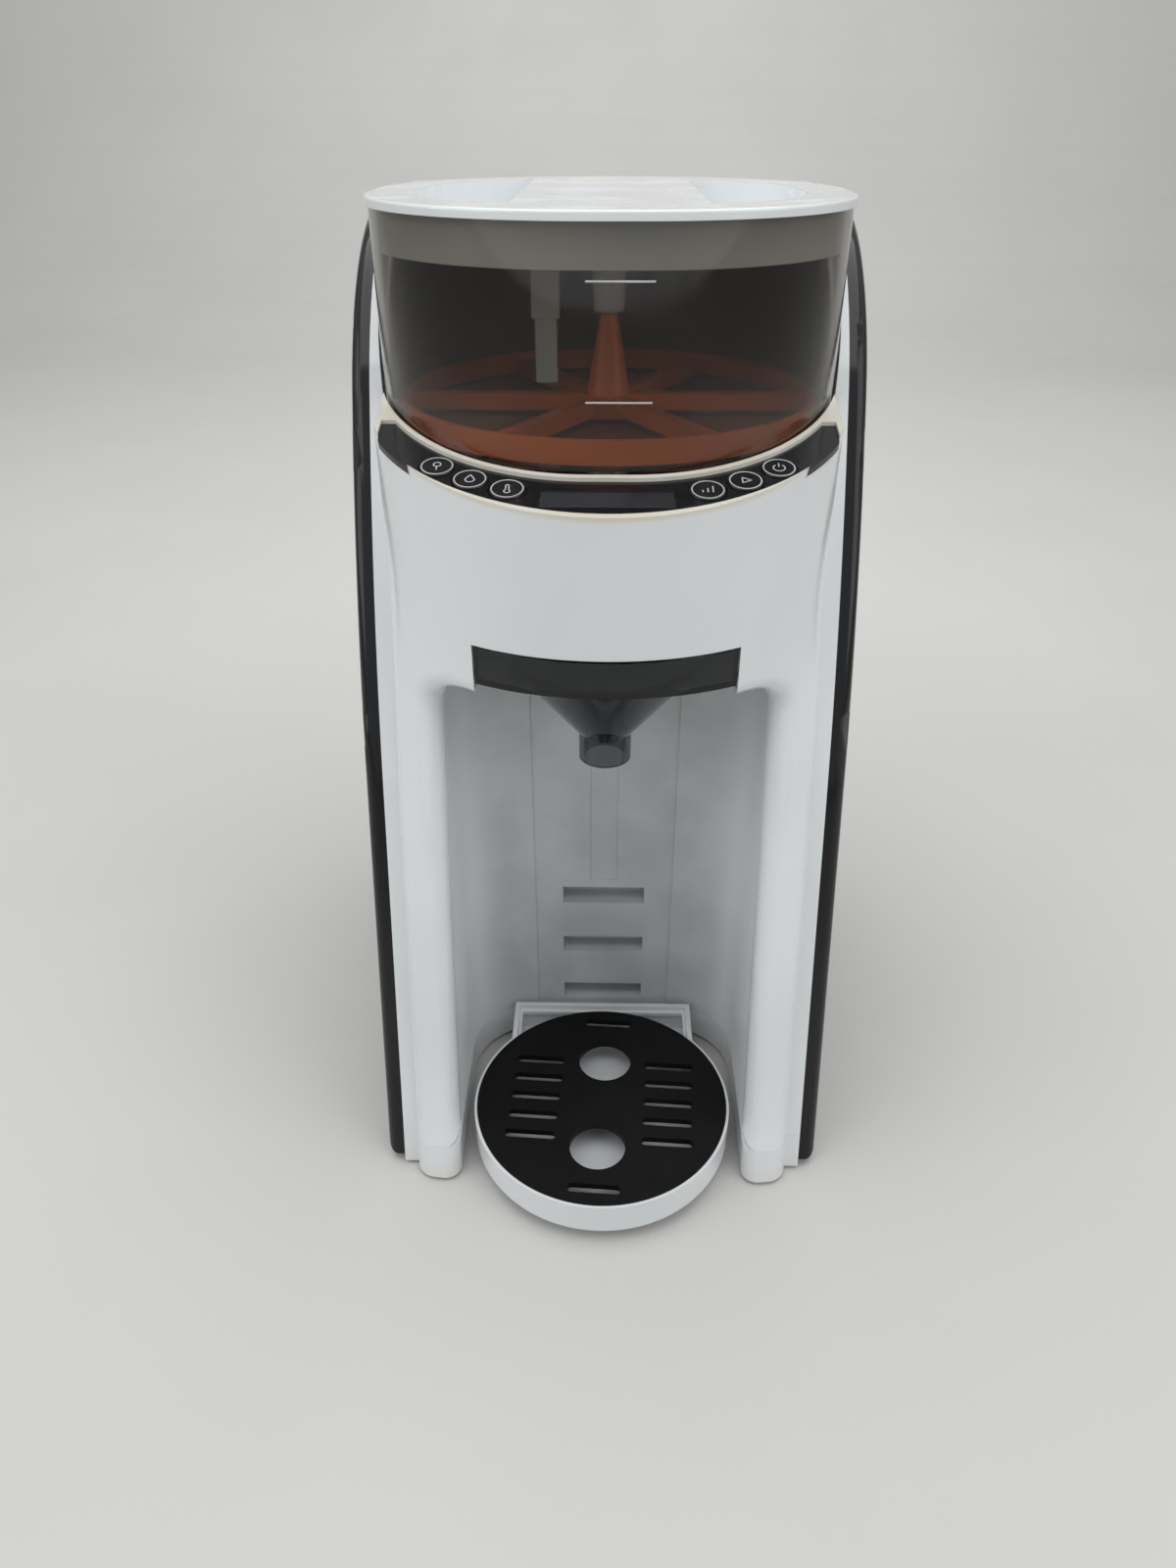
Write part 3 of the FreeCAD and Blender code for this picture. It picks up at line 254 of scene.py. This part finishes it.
def finish_group():
    """Moulded plastic: a faint drift of tone, smears in the gloss and a fine skin texture."""
    tree, source, target = new_group(
        "Moulded finish",
        [("Coord", "Vector", None), ("Light Tone", "Color", (0.8, 0.8, 0.8, 1)),
         ("Dark Tone", "Color", (0.7, 0.7, 0.7, 1)), ("Drift Scale", "Float", 14.0),
         ("Rough Low", "Float", 0.1), ("Rough High", "Float", 0.25), ("Grain Scale", "Float", 900.0)],
        [("Color", "Color"), ("Roughness", "Float"), ("Height", "Float")])
    given = source.outputs
    smears_per_drift = 3.1
    drift = noise(tree, given["Coord"], given["Drift Scale"], detail=3.0)
    share = spread(tree, drift, low=0.35, high=0.68)
    tree.links.new(mix_colour(tree, share, given["Light Tone"], given["Dark Tone"]), target.inputs["Color"])
    smear_scale = math_node(tree, "MULTIPLY", given["Drift Scale"], smears_per_drift)
    smear = noise(tree, given["Coord"], smear_scale, detail=5.0)
    rough = spread(tree, smear, low=0.4, high=0.72, to_low=given["Rough Low"], to_high=given["Rough High"])
    tree.links.new(rough, target.inputs["Roughness"])
    grain = noise(tree, given["Coord"], given["Grain Scale"], detail=2.0)
    tree.links.new(grain, target.inputs["Height"])
    return tree


def ageing_and_painted_light_group():
    """Tone that shifts along one direction, broken up by soft patches: yellowing on lids, body and base,
    painted shade deep in the bay, and a painted cream highlight along the front's rim.
    """
    tree, source, target = new_group(
        "Ageing",
        [("Coord", "Vector", None), ("Direction", "Vector", DOWNWARD), ("Start", "Float", 0.0),
         ("End", "Float", 0.1), ("Fresh", "Color", (0.8, 0.8, 0.8, 1)),
         ("Aged", "Color", (0.7, 0.6, 0.4, 1)), ("Most", "Float", 0.8)],
        [("Color", "Color"), ("Mask", "Float")])
    given = source.outputs
    along = dot_node(tree, given["Coord"], given["Direction"])
    grown = spread(tree, along, given["Start"], given["End"])
    cloud = noise(tree, given["Coord"], scale=30.0, detail=4.0)
    patches = spread(tree, cloud, low=0.3, high=0.7, to_low=0.55)
    patchy = math_node(tree, "MULTIPLY", grown, patches)
    mask = math_node(tree, "MULTIPLY", patchy, given["Most"], clamp=True)
    tree.links.new(mask, target.inputs["Mask"])
    tree.links.new(mix_colour(tree, mask, given["Fresh"], given["Aged"]), target.inputs["Color"])
    return tree


def dust_group():
    """Dust that settles on faces that look up, thicker in patches."""
    tree, source, target = new_group(
        "Settled dust",
        [("Coord", "Vector", None), ("Color", "Color", (0.1, 0.1, 0.1, 1)),
         ("Dust", "Color", (0.55, 0.54, 0.5, 1)), ("Amount", "Float", 0.1), ("Roughness", "Float", 0.2)],
        [("Color", "Color"), ("Roughness", "Float")])
    given = source.outputs
    roughness_of_dust = 0.5
    facing = tree.nodes.new("ShaderNodeSeparateXYZ")
    tree.links.new(tree.nodes.new("ShaderNodeNewGeometry").outputs["Normal"], facing.inputs[0])
    upward = spread(tree, facing.outputs["Z"], low=0.2, high=1.0)
    cloud = noise(tree, given["Coord"], scale=620.0, detail=4.0)
    specks = spread(tree, cloud, low=0.52, high=0.75, to_low=0.15)
    settled = math_node(tree, "MULTIPLY", upward, specks)
    mask = math_node(tree, "MULTIPLY", settled, given["Amount"], clamp=True)
    tree.links.new(mix_colour(tree, mask, given["Color"], given["Dust"]), target.inputs["Color"])
    added = math_node(tree, "MULTIPLY", mask, roughness_of_dust)
    rough = math_node(tree, "ADD", given["Roughness"], added, clamp=True)
    tree.links.new(rough, target.inputs["Roughness"])
    return tree


def edge_group():
    """Softened edges: the normal of a small rounding, and a mask of where the rounding lies."""
    tree, source, target = new_group(
        "Soft edges", [("Radius", "Float", 0.0004)], [("Normal", "Vector"), ("Edge", "Float")])
    bevel = tree.nodes.new("ShaderNodeBevel")
    bevel.samples = 4
    tree.links.new(source.outputs["Radius"], bevel.inputs["Radius"])
    tree.links.new(bevel.outputs["Normal"], target.inputs["Normal"])
    surface = tree.nodes.new("ShaderNodeNewGeometry").outputs["Normal"]
    agreement = dot_node(tree, bevel.outputs["Normal"], surface)
    tree.links.new(spread(tree, agreement, low=0.995, high=0.9), target.inputs["Edge"])
    return tree


def shared(name, maker):
    return bpy.data.node_groups.get(name) or maker()


def rgba(values):
    return (values[0], values[1], values[2], 1.0)


def scaled(values, share):
    return tuple(min(1.0, value * share) for value in values[:3])


# Materials

def place_group(tree, group, values):
    node = tree.nodes.new("ShaderNodeGroup")
    node.node_tree = group
    for label, value in values.items():
        feed(tree, node.inputs[label], value)
    return node.outputs


def ageing_and_painted_light(tone, direction, start, end, most):
    """Values of the tone-shift group: fresh up to start and shifted past end, measured along the direction.
    The shifted tone is the caller's: yellowing for the lids, body and base, painted shade for the bay, a
    painted highlight for the front's rim.
    """
    return {"Aged": rgba(tone), "Direction": direction, "Start": start, "End": end, "Most": most}


def plastic(name, tone, fade, rough, drift=14.0, grain=900.0, bump=0.02, edge=0.0004, coat=0.0,
            dust=0.0, aged_and_painted_light=None, metallic=0.0, shine=0.5):
    """Opaque material whose tone drifts to its share fade: moulded finish, an optional tone shift along one
    direction (yellowing, painted shade, a painted highlight) and dust, soft edges and a fine bump."""
    made = bpy.data.materials.new(name)
    made.use_nodes = True
    tree = made.node_tree
    shader = tree.nodes["Principled BSDF"]
    coord = tree.nodes.new("ShaderNodeTexCoord").outputs["Object"]
    finish = place_group(tree, shared("Moulded finish", finish_group), {
        "Coord": coord, "Light Tone": rgba(tone), "Dark Tone": rgba(scaled(tone, fade)),
        "Drift Scale": drift, "Rough Low": rough[0], "Rough High": rough[1], "Grain Scale": grain})
    surface, roughness = finish["Color"], finish["Roughness"]
    # Optional tone shift along one direction: yellowing on some parts, painted shade in the bay and a
    # painted highlight on the front's rim
    if aged_and_painted_light:
        surface = place_group(tree, shared("Ageing", ageing_and_painted_light_group), {
            "Coord": coord, "Fresh": surface, **aged_and_painted_light})["Color"]
    if dust:
        dusty = place_group(tree, shared("Settled dust", dust_group), {
            "Coord": coord, "Color": surface, "Amount": dust, "Roughness": roughness})
        surface, roughness = dusty["Color"], dusty["Roughness"]
    bump_node = tree.nodes.new("ShaderNodeBump")
    bump_node.inputs["Strength"].default_value = bump
    bump_node.inputs["Distance"].default_value = 0.4 * MILLIMETRE
    tree.links.new(finish["Height"], bump_node.inputs["Height"])
    if edge:
        soft = place_group(tree, shared("Soft edges", edge_group), {"Radius": edge})
        tree.links.new(soft["Normal"], bump_node.inputs["Normal"])
    tree.links.new(bump_node.outputs["Normal"], shader.inputs["Normal"])
    tree.links.new(surface, shader.inputs["Base Color"])
    tree.links.new(roughness, shader.inputs["Roughness"])
    shader.inputs["Metallic"].default_value = metallic
    shader.inputs["Specular IOR Level"].default_value = shine
    shader.inputs["Coat Weight"].default_value = coat
    shader.inputs["Coat Roughness"].default_value = 0.06
    return made


def clear_plastic(name, tint, rough, let_through=0.6):
    """See-through plastic: tinted transmission with hazy patches, open in part to shadow rays."""
    made = plastic(name, tint, fade=0.92, rough=rough, drift=9.0, bump=0.01, edge=0.0003)
    tree = made.node_tree
    shader = tree.nodes["Principled BSDF"]
    shader.inputs["Transmission Weight"].default_value = 1.0
    shader.inputs["IOR"].default_value = 1.45
    shadow = tree.nodes.new("ShaderNodeLightPath").outputs["Is Shadow Ray"]
    opening = math_node(tree, "SUBTRACT", 1.0, math_node(tree, "MULTIPLY", shadow, let_through))
    tree.links.new(opening, shader.inputs["Alpha"])
    return made


def dress(material, *names):
    """Puts one material on the material slots of each named CAD node."""
    for name in names:
        piece = NODES[name]
        if not piece.material_slots:
            piece.data.materials.append(material)
        for place in piece.material_slots:
            place.material = material


# Surfaces

def unit(rows):
    return rows / np.linalg.norm(rows, axis=1, keepdims=True)


def carry_profile(name, centres, out, profile, closed, material, body):
    """Surface point(i, j) = centre(i) + across(i) * profile(j, 0) + out(i) * profile(j, 1), where across
    is out crossed with the path's direction, and the profile runs from across towards out, so that the
    faces look outward. A closed path joins its ends, an open one gets end caps."""
    if closed:
        along = np.roll(centres, -1, axis=0) - np.roll(centres, 1, axis=0)
    else:
        along = np.gradient(centres, axis=0)
    across = unit(np.cross(out, unit(along)))
    points = (centres[:, None, :] + across[:, None, :] * profile[None, :, 0:1]
              + out[:, None, :] * profile[None, :, 1:2]).reshape(-1, 3)
    rows, columns = len(centres), len(profile)
    i, j = np.meshgrid(np.arange(rows if closed else rows - 1), np.arange(columns), indexing="ij")
    i, j = i.ravel(), j.ravel()
    ahead, beside = (i + 1) % rows, (j + 1) % columns
    faces = np.stack([i * columns + j, i * columns + beside, ahead * columns + beside,
                      ahead * columns + j], axis=1).tolist()
    if not closed:
        faces.append(list(range(columns))[::-1])
        faces.append(list(range((rows - 1) * columns, rows * columns)))
    mesh = bpy.data.meshes.new(name)
    mesh.from_pydata(points.tolist(), [], faces)
    mesh.validate()
    mesh.materials.append(material)
    piece = bpy.data.objects.new(name, mesh)
    bpy.context.scene.collection.objects.link(piece)
    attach(piece, body)


def flat_profile(width, thickness, steps=9):
    """Low rounded bar: a half ellipse above the surface and a flat underside a little inside it."""
    turn = np.linspace(0.0, math.pi, steps)
    arch = np.stack([np.cos(turn) * width / 2, np.sin(turn) * thickness], axis=1)
    under = np.array([[-width / 2, -thickness], [width / 2, -thickness]])
    return np.vstack([arch, under])


def arc(middle, radius, start, end, count=25):
    """Points at middle + radius * (cos t, sin t), t in degrees from start to end."""
    turn = np.radians(np.linspace(start, end, count))
    return np.stack([middle[0] + radius * np.cos(turn), middle[1] + radius * np.sin(turn)], axis=1)


def straight(first, second, count=6):
    """Points at equal steps from first to second."""
    share = np.linspace(0.0, 1.0, count)[:, None]
    return np.array(first) * (1 - share) + np.array(second) * share


def drop_sign(radius=1.45, low=-0.5, tip=2.4):
    """Water drop: a round belly whose sides run up to a tip."""
    side_x = radius * math.cos(math.radians(30))
    side_y = low + radius * math.sin(math.radians(30))
    return np.vstack([arc((0, low), radius, -210, 30), straight((side_x, side_y), (0, tip))[1:],
                      straight((0, tip), (-side_x, side_y))[1:-1]])


def play_sign(back=-1.0, front=1.8, half_height=1.6):
    """Triangle that points to the right."""
    corners = ((back, -half_height), (front, 0.0), (back, half_height))
    return np.vstack([straight(corners[0], corners[1])[:-1], straight(corners[1], corners[2])[:-1],
                      straight(corners[2], corners[0])[:-1]])


def warmth_sign(bulb_radius=0.95, bulb_y=-1.6, neck_y=-0.7, top_y=1.7, half_width=0.5):
    """Thermometer: a round bulb under a tube with a rounded top."""
    return np.vstack([arc((0, bulb_y), bulb_radius, 125, 415),
                      straight((half_width, neck_y), (half_width, top_y))[1:],
                      arc((0, top_y), half_width, 0, 180, 9)[1:],
                      straight((-half_width, top_y), (-half_width, neck_y))[1:-1]])


def power_sign(radius=1.9, middle_y=-0.2, bar_low=0.4, bar_high=2.5):
    """Open ring and the bar in its gap."""
    return [(arc((0, middle_y), radius, 125, 415), False), (straight((0, bar_low), (0, bar_high)), False)]


def scoop_sign(radius=1.2, middle_y=0.9, handle_end=-2.5):
    """Round scoop and its handle."""
    bowl = arc((0, middle_y), radius, 0, 360)[:-1]
    return [(bowl, True), (straight((0, middle_y - radius), (0, handle_end)), False)]


def amount_sign(foot=-1.6, bars=((-1.6, -0.4), (0, 0.7), (1.6, 1.9))):
    """Three bars that grow to the right, each by its place across and its top."""
    return [(straight((x, foot), (x, top)), False) for x, top in bars]


def symbol_strokes(button):
    """Strokes of one button's generic sign, in millimetres about its centre, each open or closed."""
    return {
        "power_button": power_sign(),
        "water_button": [(drop_sign(), True)],
        "temperature_button": [(warmth_sign(), True)],
        "powder_button": scoop_sign(),
        "volume_button": amount_sign(),
        "start_button": [(play_sign(), True)],
    }[button]


def cap_centre(node):
    """Centre of a button's top face, from its box at rest."""
    low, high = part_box(node)
    return np.array([(low.x + high.x) / 2, low.y + CAP_RADIUS * PANEL_UP[1] - MARK_SINK,
                     high.z - CAP_TOP_RADIUS * PANEL_UP[2]])


# Operators

class FORMULA_OT_shells(bpy.types.Operator):
    """Dresses the outer shells, panels, lid and tray"""
    bl_idname = "formula.shells"
    bl_label = "Dress the shells"

    def execute(self, context):
        look = context.scene.formula_shell
        white, cream, black = look.white[:], look.cream[:], look.black[:]
        polished = (look.gloss, look.gloss + look.smear)
        face = float(PANEL_OUT @ PANEL_POINT)
        # Painted highlight: a cream band along the front shell's rounded rim next to the control face,
        # standing for light caught by the rim
        painted_rim_highlight = ageing_and_painted_light(cream, tuple(PANEL_OUT), start=face - 0.0022, end=face - 0.0004, most=0.7)
        rear = ageing_and_painted_light(cream, REARWARD, start=0.045, end=0.066, most=0.8)
        top = ageing_and_painted_light(cream, UPWARD, start=0.345, end=0.362, most=0.7)
        foot = ageing_and_painted_light(cream, DOWNWARD, start=-0.012, end=-0.002, most=0.2)
        # Painted shade: the bay's liner darkens towards its back wall to 0.62 of the white, standing for the
        # shade deep in the recess
        painted_bay_shade = ageing_and_painted_light(scaled(white, 0.62), REARWARD, start=-0.062, end=-0.045, most=0.9)
        dress(plastic("front_white", white, fade=0.95, rough=polished, coat=0.4, aged_and_painted_light=painted_rim_highlight), "front_shell")
        dress(plastic("lid_white", white, fade=0.96, rough=polished, coat=0.4, dust=0.05, aged_and_painted_light=rear),
              "powder_lid", "tank_lid")
        dress(plastic("body_white", white, fade=0.95, rough=polished, drift=9.0, coat=0.3, aged_and_painted_light=top),
              "main_body")
        dress(plastic("base_white", white, fade=0.93, rough=polished, coat=0.3, aged_and_painted_light=foot),
              "lower_base", "rear_cover")
        dress(plastic("panel_black", black, fade=2.2, rough=(0.07, 0.17), drift=7.0, coat=0.15, dust=0.015,
                      shine=0.25, edge=0.0006), "side_panel_left", "side_panel_right")
        # The bay's liner carries the painted shade deep in the recess
        dress(plastic("bay_satin", scaled(white, 0.97), fade=0.95, rough=(0.28, 0.42), bump=0.04, aged_and_painted_light=painted_bay_shade),
              "bay_liner")
        dress(plastic("tray_white", white, fade=0.94, rough=polished, coat=0.3), "drip_tray")
        dress(plastic("grid_black", look.grid[:], fade=1.6, rough=(0.42, 0.6), grain=1500.0, bump=0.10,
                      dust=0.006, shine=0.12), "tray_grid")
        return {"FINISHED"}


class FORMULA_OT_clear(bpy.types.Operator):
    """Dresses the smoked container, its collar, the funnel, the tank and the stirring wheel"""
    bl_idname = "formula.clear"
    bl_label = "Dress the clear parts"

    def execute(self, context):
        look = context.scene.formula_clear
        dress(clear_plastic("smoke_clear", look.smoke[:], rough=(0.03, 0.10)), "powder_container")
        dress(plastic("collar_frost", look.frost[:], fade=0.86, rough=(0.3, 0.45), bump=0.06), "lid_collar")
        dress(clear_plastic("smoke_funnel", look.funnel[:], rough=(0.05, 0.14)), "funnel_drawer")
        dress(clear_plastic("tank_clear", look.tank[:], rough=(0.03, 0.09)), "water_tank")
        dress(plastic("wheel_orange", look.wheel[:], fade=0.72, rough=(0.30, 0.48), drift=22.0, bump=0.06,
                      dust=0.03), "stirring_wheel")
        return {"FINISHED"}


class FORMULA_OT_controls(bpy.types.Operator):
    """Dresses the control face, its window and its buttons"""
    bl_idname = "formula.controls"
    bl_label = "Dress the controls"

    def execute(self, context):
        look = context.scene.formula_shell
        black = look.black[:]
        dress(plastic("face_black", black, fade=1.8, rough=(0.05, 0.13), drift=18.0, coat=0.3, dust=0.012,
                      shine=0.3), "control_overlay")
        dress(plastic("button_black", scaled(black, 1.6), fade=1.625, rough=(0.12, 0.24), drift=60.0,
                      coat=0.2, shine=0.3), *BUTTONS)
        dress(plastic("window_grey", look.window[:], fade=1.42, rough=(0.05, 0.12), drift=40.0, coat=0.3,
                      shine=0.3), "display_window")
        return {"FINISHED"}


class FORMULA_OT_inner(bpy.types.Operator):
    """Dresses the working parts inside the housing"""
    bl_idname = "formula.inner"
    bl_label = "Dress the inner parts"

    def execute(self, context):
        look = context.scene.formula_inner
        dress(plastic("inner_grey", look.grey[:], fade=0.8, rough=(0.35, 0.5), bump=0.08),
              "container_deck", "deck_bearing", "drive_gear", "pinion", "motor_bracket", "powder_chute",
              "tank_valve", "valve_cage", "tank_socket", "water_spout")
        dress(plastic("steel", look.steel[:], fade=0.77, rough=(0.22, 0.42), drift=90.0, metallic=1.0),
              "gear_motor", "heater", "base_screws", "tank_hinge_pins", "valve_spring")
        dress(plastic("board_green", look.board[:], fade=1.4, rough=(0.35, 0.55), drift=120.0),
              "control_board", "power_board")
        dress(plastic("feet_rubber", look.foot[:], fade=1.67, rough=(0.6, 0.8), bump=0.2), "rubber_feet")
        dress(plastic("seal_rubber", look.seal[:], fade=0.83, rough=(0.45, 0.6), bump=0.1), "socket_seal")
        dress(plastic("hose_milky", look.hose[:], fade=0.87, rough=(0.25, 0.4), drift=30.0),
              "pump_hose", "heater_hose", "spout_hose")
        dress(plastic("inlet_black", look.inlet[:], fade=1.67, rough=(0.35, 0.5), bump=0.1),
              "power_inlet", "pump")
        return {"FINISHED"}


class FORMULA_OT_marks(bpy.types.Operator):
    """Prints the rings and signs on the buttons"""
    bl_idname = "formula.marks"
    bl_label = "Print the button marks"

    def execute(self, context):
        look = context.scene.formula_mark
        ink = plastic("button_print", look.pale[:], fade=0.85, rough=(0.3, 0.45), drift=200.0, edge=0.0)
        profile = flat_profile(look.stroke, look.thickness)
        ring = arc((0, 0), look.ring_radius / MILLIMETRE, 0, 360, count=73)[:-1]
        for name in BUTTONS:
            middle = cap_centre(name)
            for number, (path, closed) in enumerate([(ring, True)] + symbol_strokes(name)):
                centres = middle + (path[:, 0:1] * PANEL_ACROSS + path[:, 1:2] * PANEL_UP) * MILLIMETRE
                out = np.tile(PANEL_OUT, (len(centres), 1))
                carry_profile(f"{name}_mark_{number}", centres, out, profile, closed, ink, name)
        return {"FINISHED"}


class FORMULA_OT_levels(bpy.types.Operator):
    """Prints the level lines on the container and moulds those on the tank"""
    bl_idname = "formula.levels"
    bl_label = "Print the level lines"

    def execute(self, context):
        look = context.scene.formula_mark
        ink = plastic("level_print", look.pale[:], fade=0.88, rough=(0.35, 0.5), drift=150.0, edge=0.0)
        profile = flat_profile(look.level_stroke, look.level_thickness)
        self.mark_container(look, profile, ink)
        self.mark_tank(look, profile, ink)
        return {"FINISHED"}

    def mark_container(self, look, profile, ink, steps=24):
        """Lines at y = front + bow - sqrt(bow^2 - s^2), s being how far x lies past the flat middle."""
        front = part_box("powder_container")[0].y
        x = np.linspace(look.line_left, look.line_right, steps)
        past_flat = np.maximum(np.abs(x) - look.flat_half, 0.0) * np.sign(x)
        y = front + look.bow - np.sqrt(look.bow ** 2 - past_flat ** 2)
        sine = past_flat / look.bow
        out = np.stack([sine, -np.sqrt(1 - sine ** 2), np.zeros_like(x)], axis=1)
        for number, height in enumerate((look.low_level, look.full_level)):
            centres = np.stack([x, y, np.full_like(x, height)], axis=1)
            carry_profile(f"container_level_{number}", centres, out, profile, False, ink, "container")

    def mark_tank(self, look, profile, ink, steps=16):
        """Marks at (r cos t, middle + r sin t) on the tank's round back, every other one long."""
        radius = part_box("water_tank")[1].y - look.tank_middle
        for number, height in enumerate(np.linspace(look.tank_low, look.tank_high, look.tank_marks)):
            turn = np.linspace(look.tank_start, look.tank_long if number % 2 else look.tank_short, steps)
            out = np.stack([np.cos(turn), np.sin(turn), np.zeros_like(turn)], axis=1)
            centres = radius * out + np.array([0.0, look.tank_middle, height])
            carry_profile(f"tank_level_{number}", centres, out, profile, False, ink, "tank")


class FORMULA_OT_stage(bpy.types.Operator):
    """Sets the floor, the lights, the surroundings and the camera"""
    bl_idname = "formula.stage"
    bl_label = "Set the stage"

    def execute(self, context):
        look = context.scene.formula_studio
        self.set_floor(context.scene, look)
        for name, lamp in LAMPS.items():
            self.set_lamp(context.scene, name, lamp, getattr(look, lamp["power"]))
        self.set_surroundings(context.scene, look)
        self.set_camera(context.scene, look)
        context.scene.view_settings.view_transform = "Standard"
        return {"FINISHED"}

    def set_floor(self, scene, look, steps=24):
        """Floor and backdrop: the path (start + r sin t, r - r cos t) in y and z, drawn out sideways."""
        turn = np.linspace(0.0, math.pi / 2, steps)
        rise = np.stack([look.backdrop_start + look.backdrop_round * np.sin(turn),
                         look.backdrop_round * (1.0 - np.cos(turn))], axis=1)
        back = look.backdrop_start + look.backdrop_round
        path = np.vstack([[[-look.floor_front, 0.0]], rise, [[back, look.backdrop_top]]])
        across = np.array([-look.floor_half_width, look.floor_half_width])
        points = np.column_stack([np.tile(across, len(path)), np.repeat(path, 2, axis=0)])
        step = np.arange(len(path) - 1) * 2
        mesh = bpy.data.meshes.new("floor")
        faces = np.stack([step, step + 1, step + 3, step + 2], axis=1)
        mesh.from_pydata(points.tolist(), [], faces.tolist())
        mesh.materials.append(plastic("floor_paper", look.floor[:], fade=0.97, rough=(0.55, 0.7), drift=3.0,
                                      bump=0.03, edge=0.0))
        floor = bpy.data.objects.new("floor", mesh)
        scene.collection.objects.link(floor)

    def set_lamp(self, scene, name, lamp, energy):
        light = bpy.data.lights.new(name, "AREA")
        light.energy = energy
        light.size = LAMP_SIZE * lamp["share"]
        placed = bpy.data.objects.new(name, light)
        placed.location = lamp["place"]
        away = np.array(lamp["place"]) - np.array(lamp["aim"])
        placed.rotation_euler = (math.atan2(math.hypot(away[0], away[1]), away[2]), 0.0,
                                 math.atan2(away[1], away[0]) + math.pi / 2)
        scene.collection.objects.link(placed)

    def set_surroundings(self, scene, look):
        """Even pale light all round, paler where the camera, mirrors and clear parts see it directly."""
        world = bpy.data.worlds.new("surroundings")
        scene.world = world
        world.use_nodes = True
        tree = world.node_tree
        back = tree.nodes["Background"]
        path = tree.nodes.new("ShaderNodeLightPath").outputs
        direct = math_node(tree, "MAXIMUM", path["Is Camera Ray"], path["Is Transmission Ray"])
        seen = math_node(tree, "MAXIMUM", direct, path["Is Glossy Ray"])
        back.inputs["Color"].default_value = rgba(look.sky)
        level = tree.nodes.new("ShaderNodeMapRange")
        level.inputs["To Min"].default_value = look.ambient
        level.inputs["To Max"].default_value = look.seen
        tree.links.new(seen, level.inputs["Value"])
        tree.links.new(level.outputs["Result"], back.inputs["Strength"])

    def set_camera(self, scene, look):
        camera_data = bpy.data.cameras.new("camera")
        camera_data.lens = look.focal
        camera_data.sensor_width = look.film
        camera_data.sensor_fit = "AUTO"
        camera_data.clip_start = 0.01
        camera = bpy.data.objects.new("camera", camera_data)
        camera.location = (0.0, -look.camera_back, look.camera_height)
        camera.rotation_euler = (look.tilt, 0.0, look.turn)
        scene.collection.objects.link(camera)
        scene.camera = camera


class FORMULA_PT_panel(bpy.types.Panel):
    """Lists the settings and the steps that build the looks"""
    bl_idname = "FORMULA_PT_panel"
    bl_label = "Formula maker looks"
    bl_space_type = "VIEW_3D"
    bl_region_type = "UI"
    bl_category = "Formula Maker"

    def draw(self, context):
        for step in STEPS:
            self.layout.operator(step.bl_idname)
        for name, group in SETTINGS:
            part = self.layout.box()
            for field in group.__annotations__:
                part.prop(getattr(context.scene, name), field)


SETTINGS = (("formula_shell", ShellSettings), ("formula_clear", ClearSettings),
            ("formula_inner", InnerSettings), ("formula_mark", MarkSettings),
            ("formula_studio", StudioSettings))
STEPS = (FORMULA_OT_shells, FORMULA_OT_clear, FORMULA_OT_controls, FORMULA_OT_inner, FORMULA_OT_marks,
         FORMULA_OT_levels, FORMULA_OT_stage)


def register():
    for name, group in SETTINGS:
        bpy.utils.register_class(group)
        setattr(bpy.types.Scene, name, bpy.props.PointerProperty(type=group))
    for item in STEPS + (FORMULA_PT_panel,):
        bpy.utils.register_class(item)


def unregister():
    for item in (FORMULA_PT_panel,) + STEPS[::-1]:
        bpy.utils.unregister_class(item)
    for name, group in SETTINGS[::-1]:
        delattr(bpy.types.Scene, name)
        bpy.utils.unregister_class(group)


def main():
    register()
    bpy.ops.formula.shells()
    bpy.ops.formula.clear()
    bpy.ops.formula.controls()
    bpy.ops.formula.inner()
    bpy.ops.formula.marks()
    bpy.ops.formula.levels()
    bpy.ops.formula.stage()


if __name__ == "__main__":
    main()
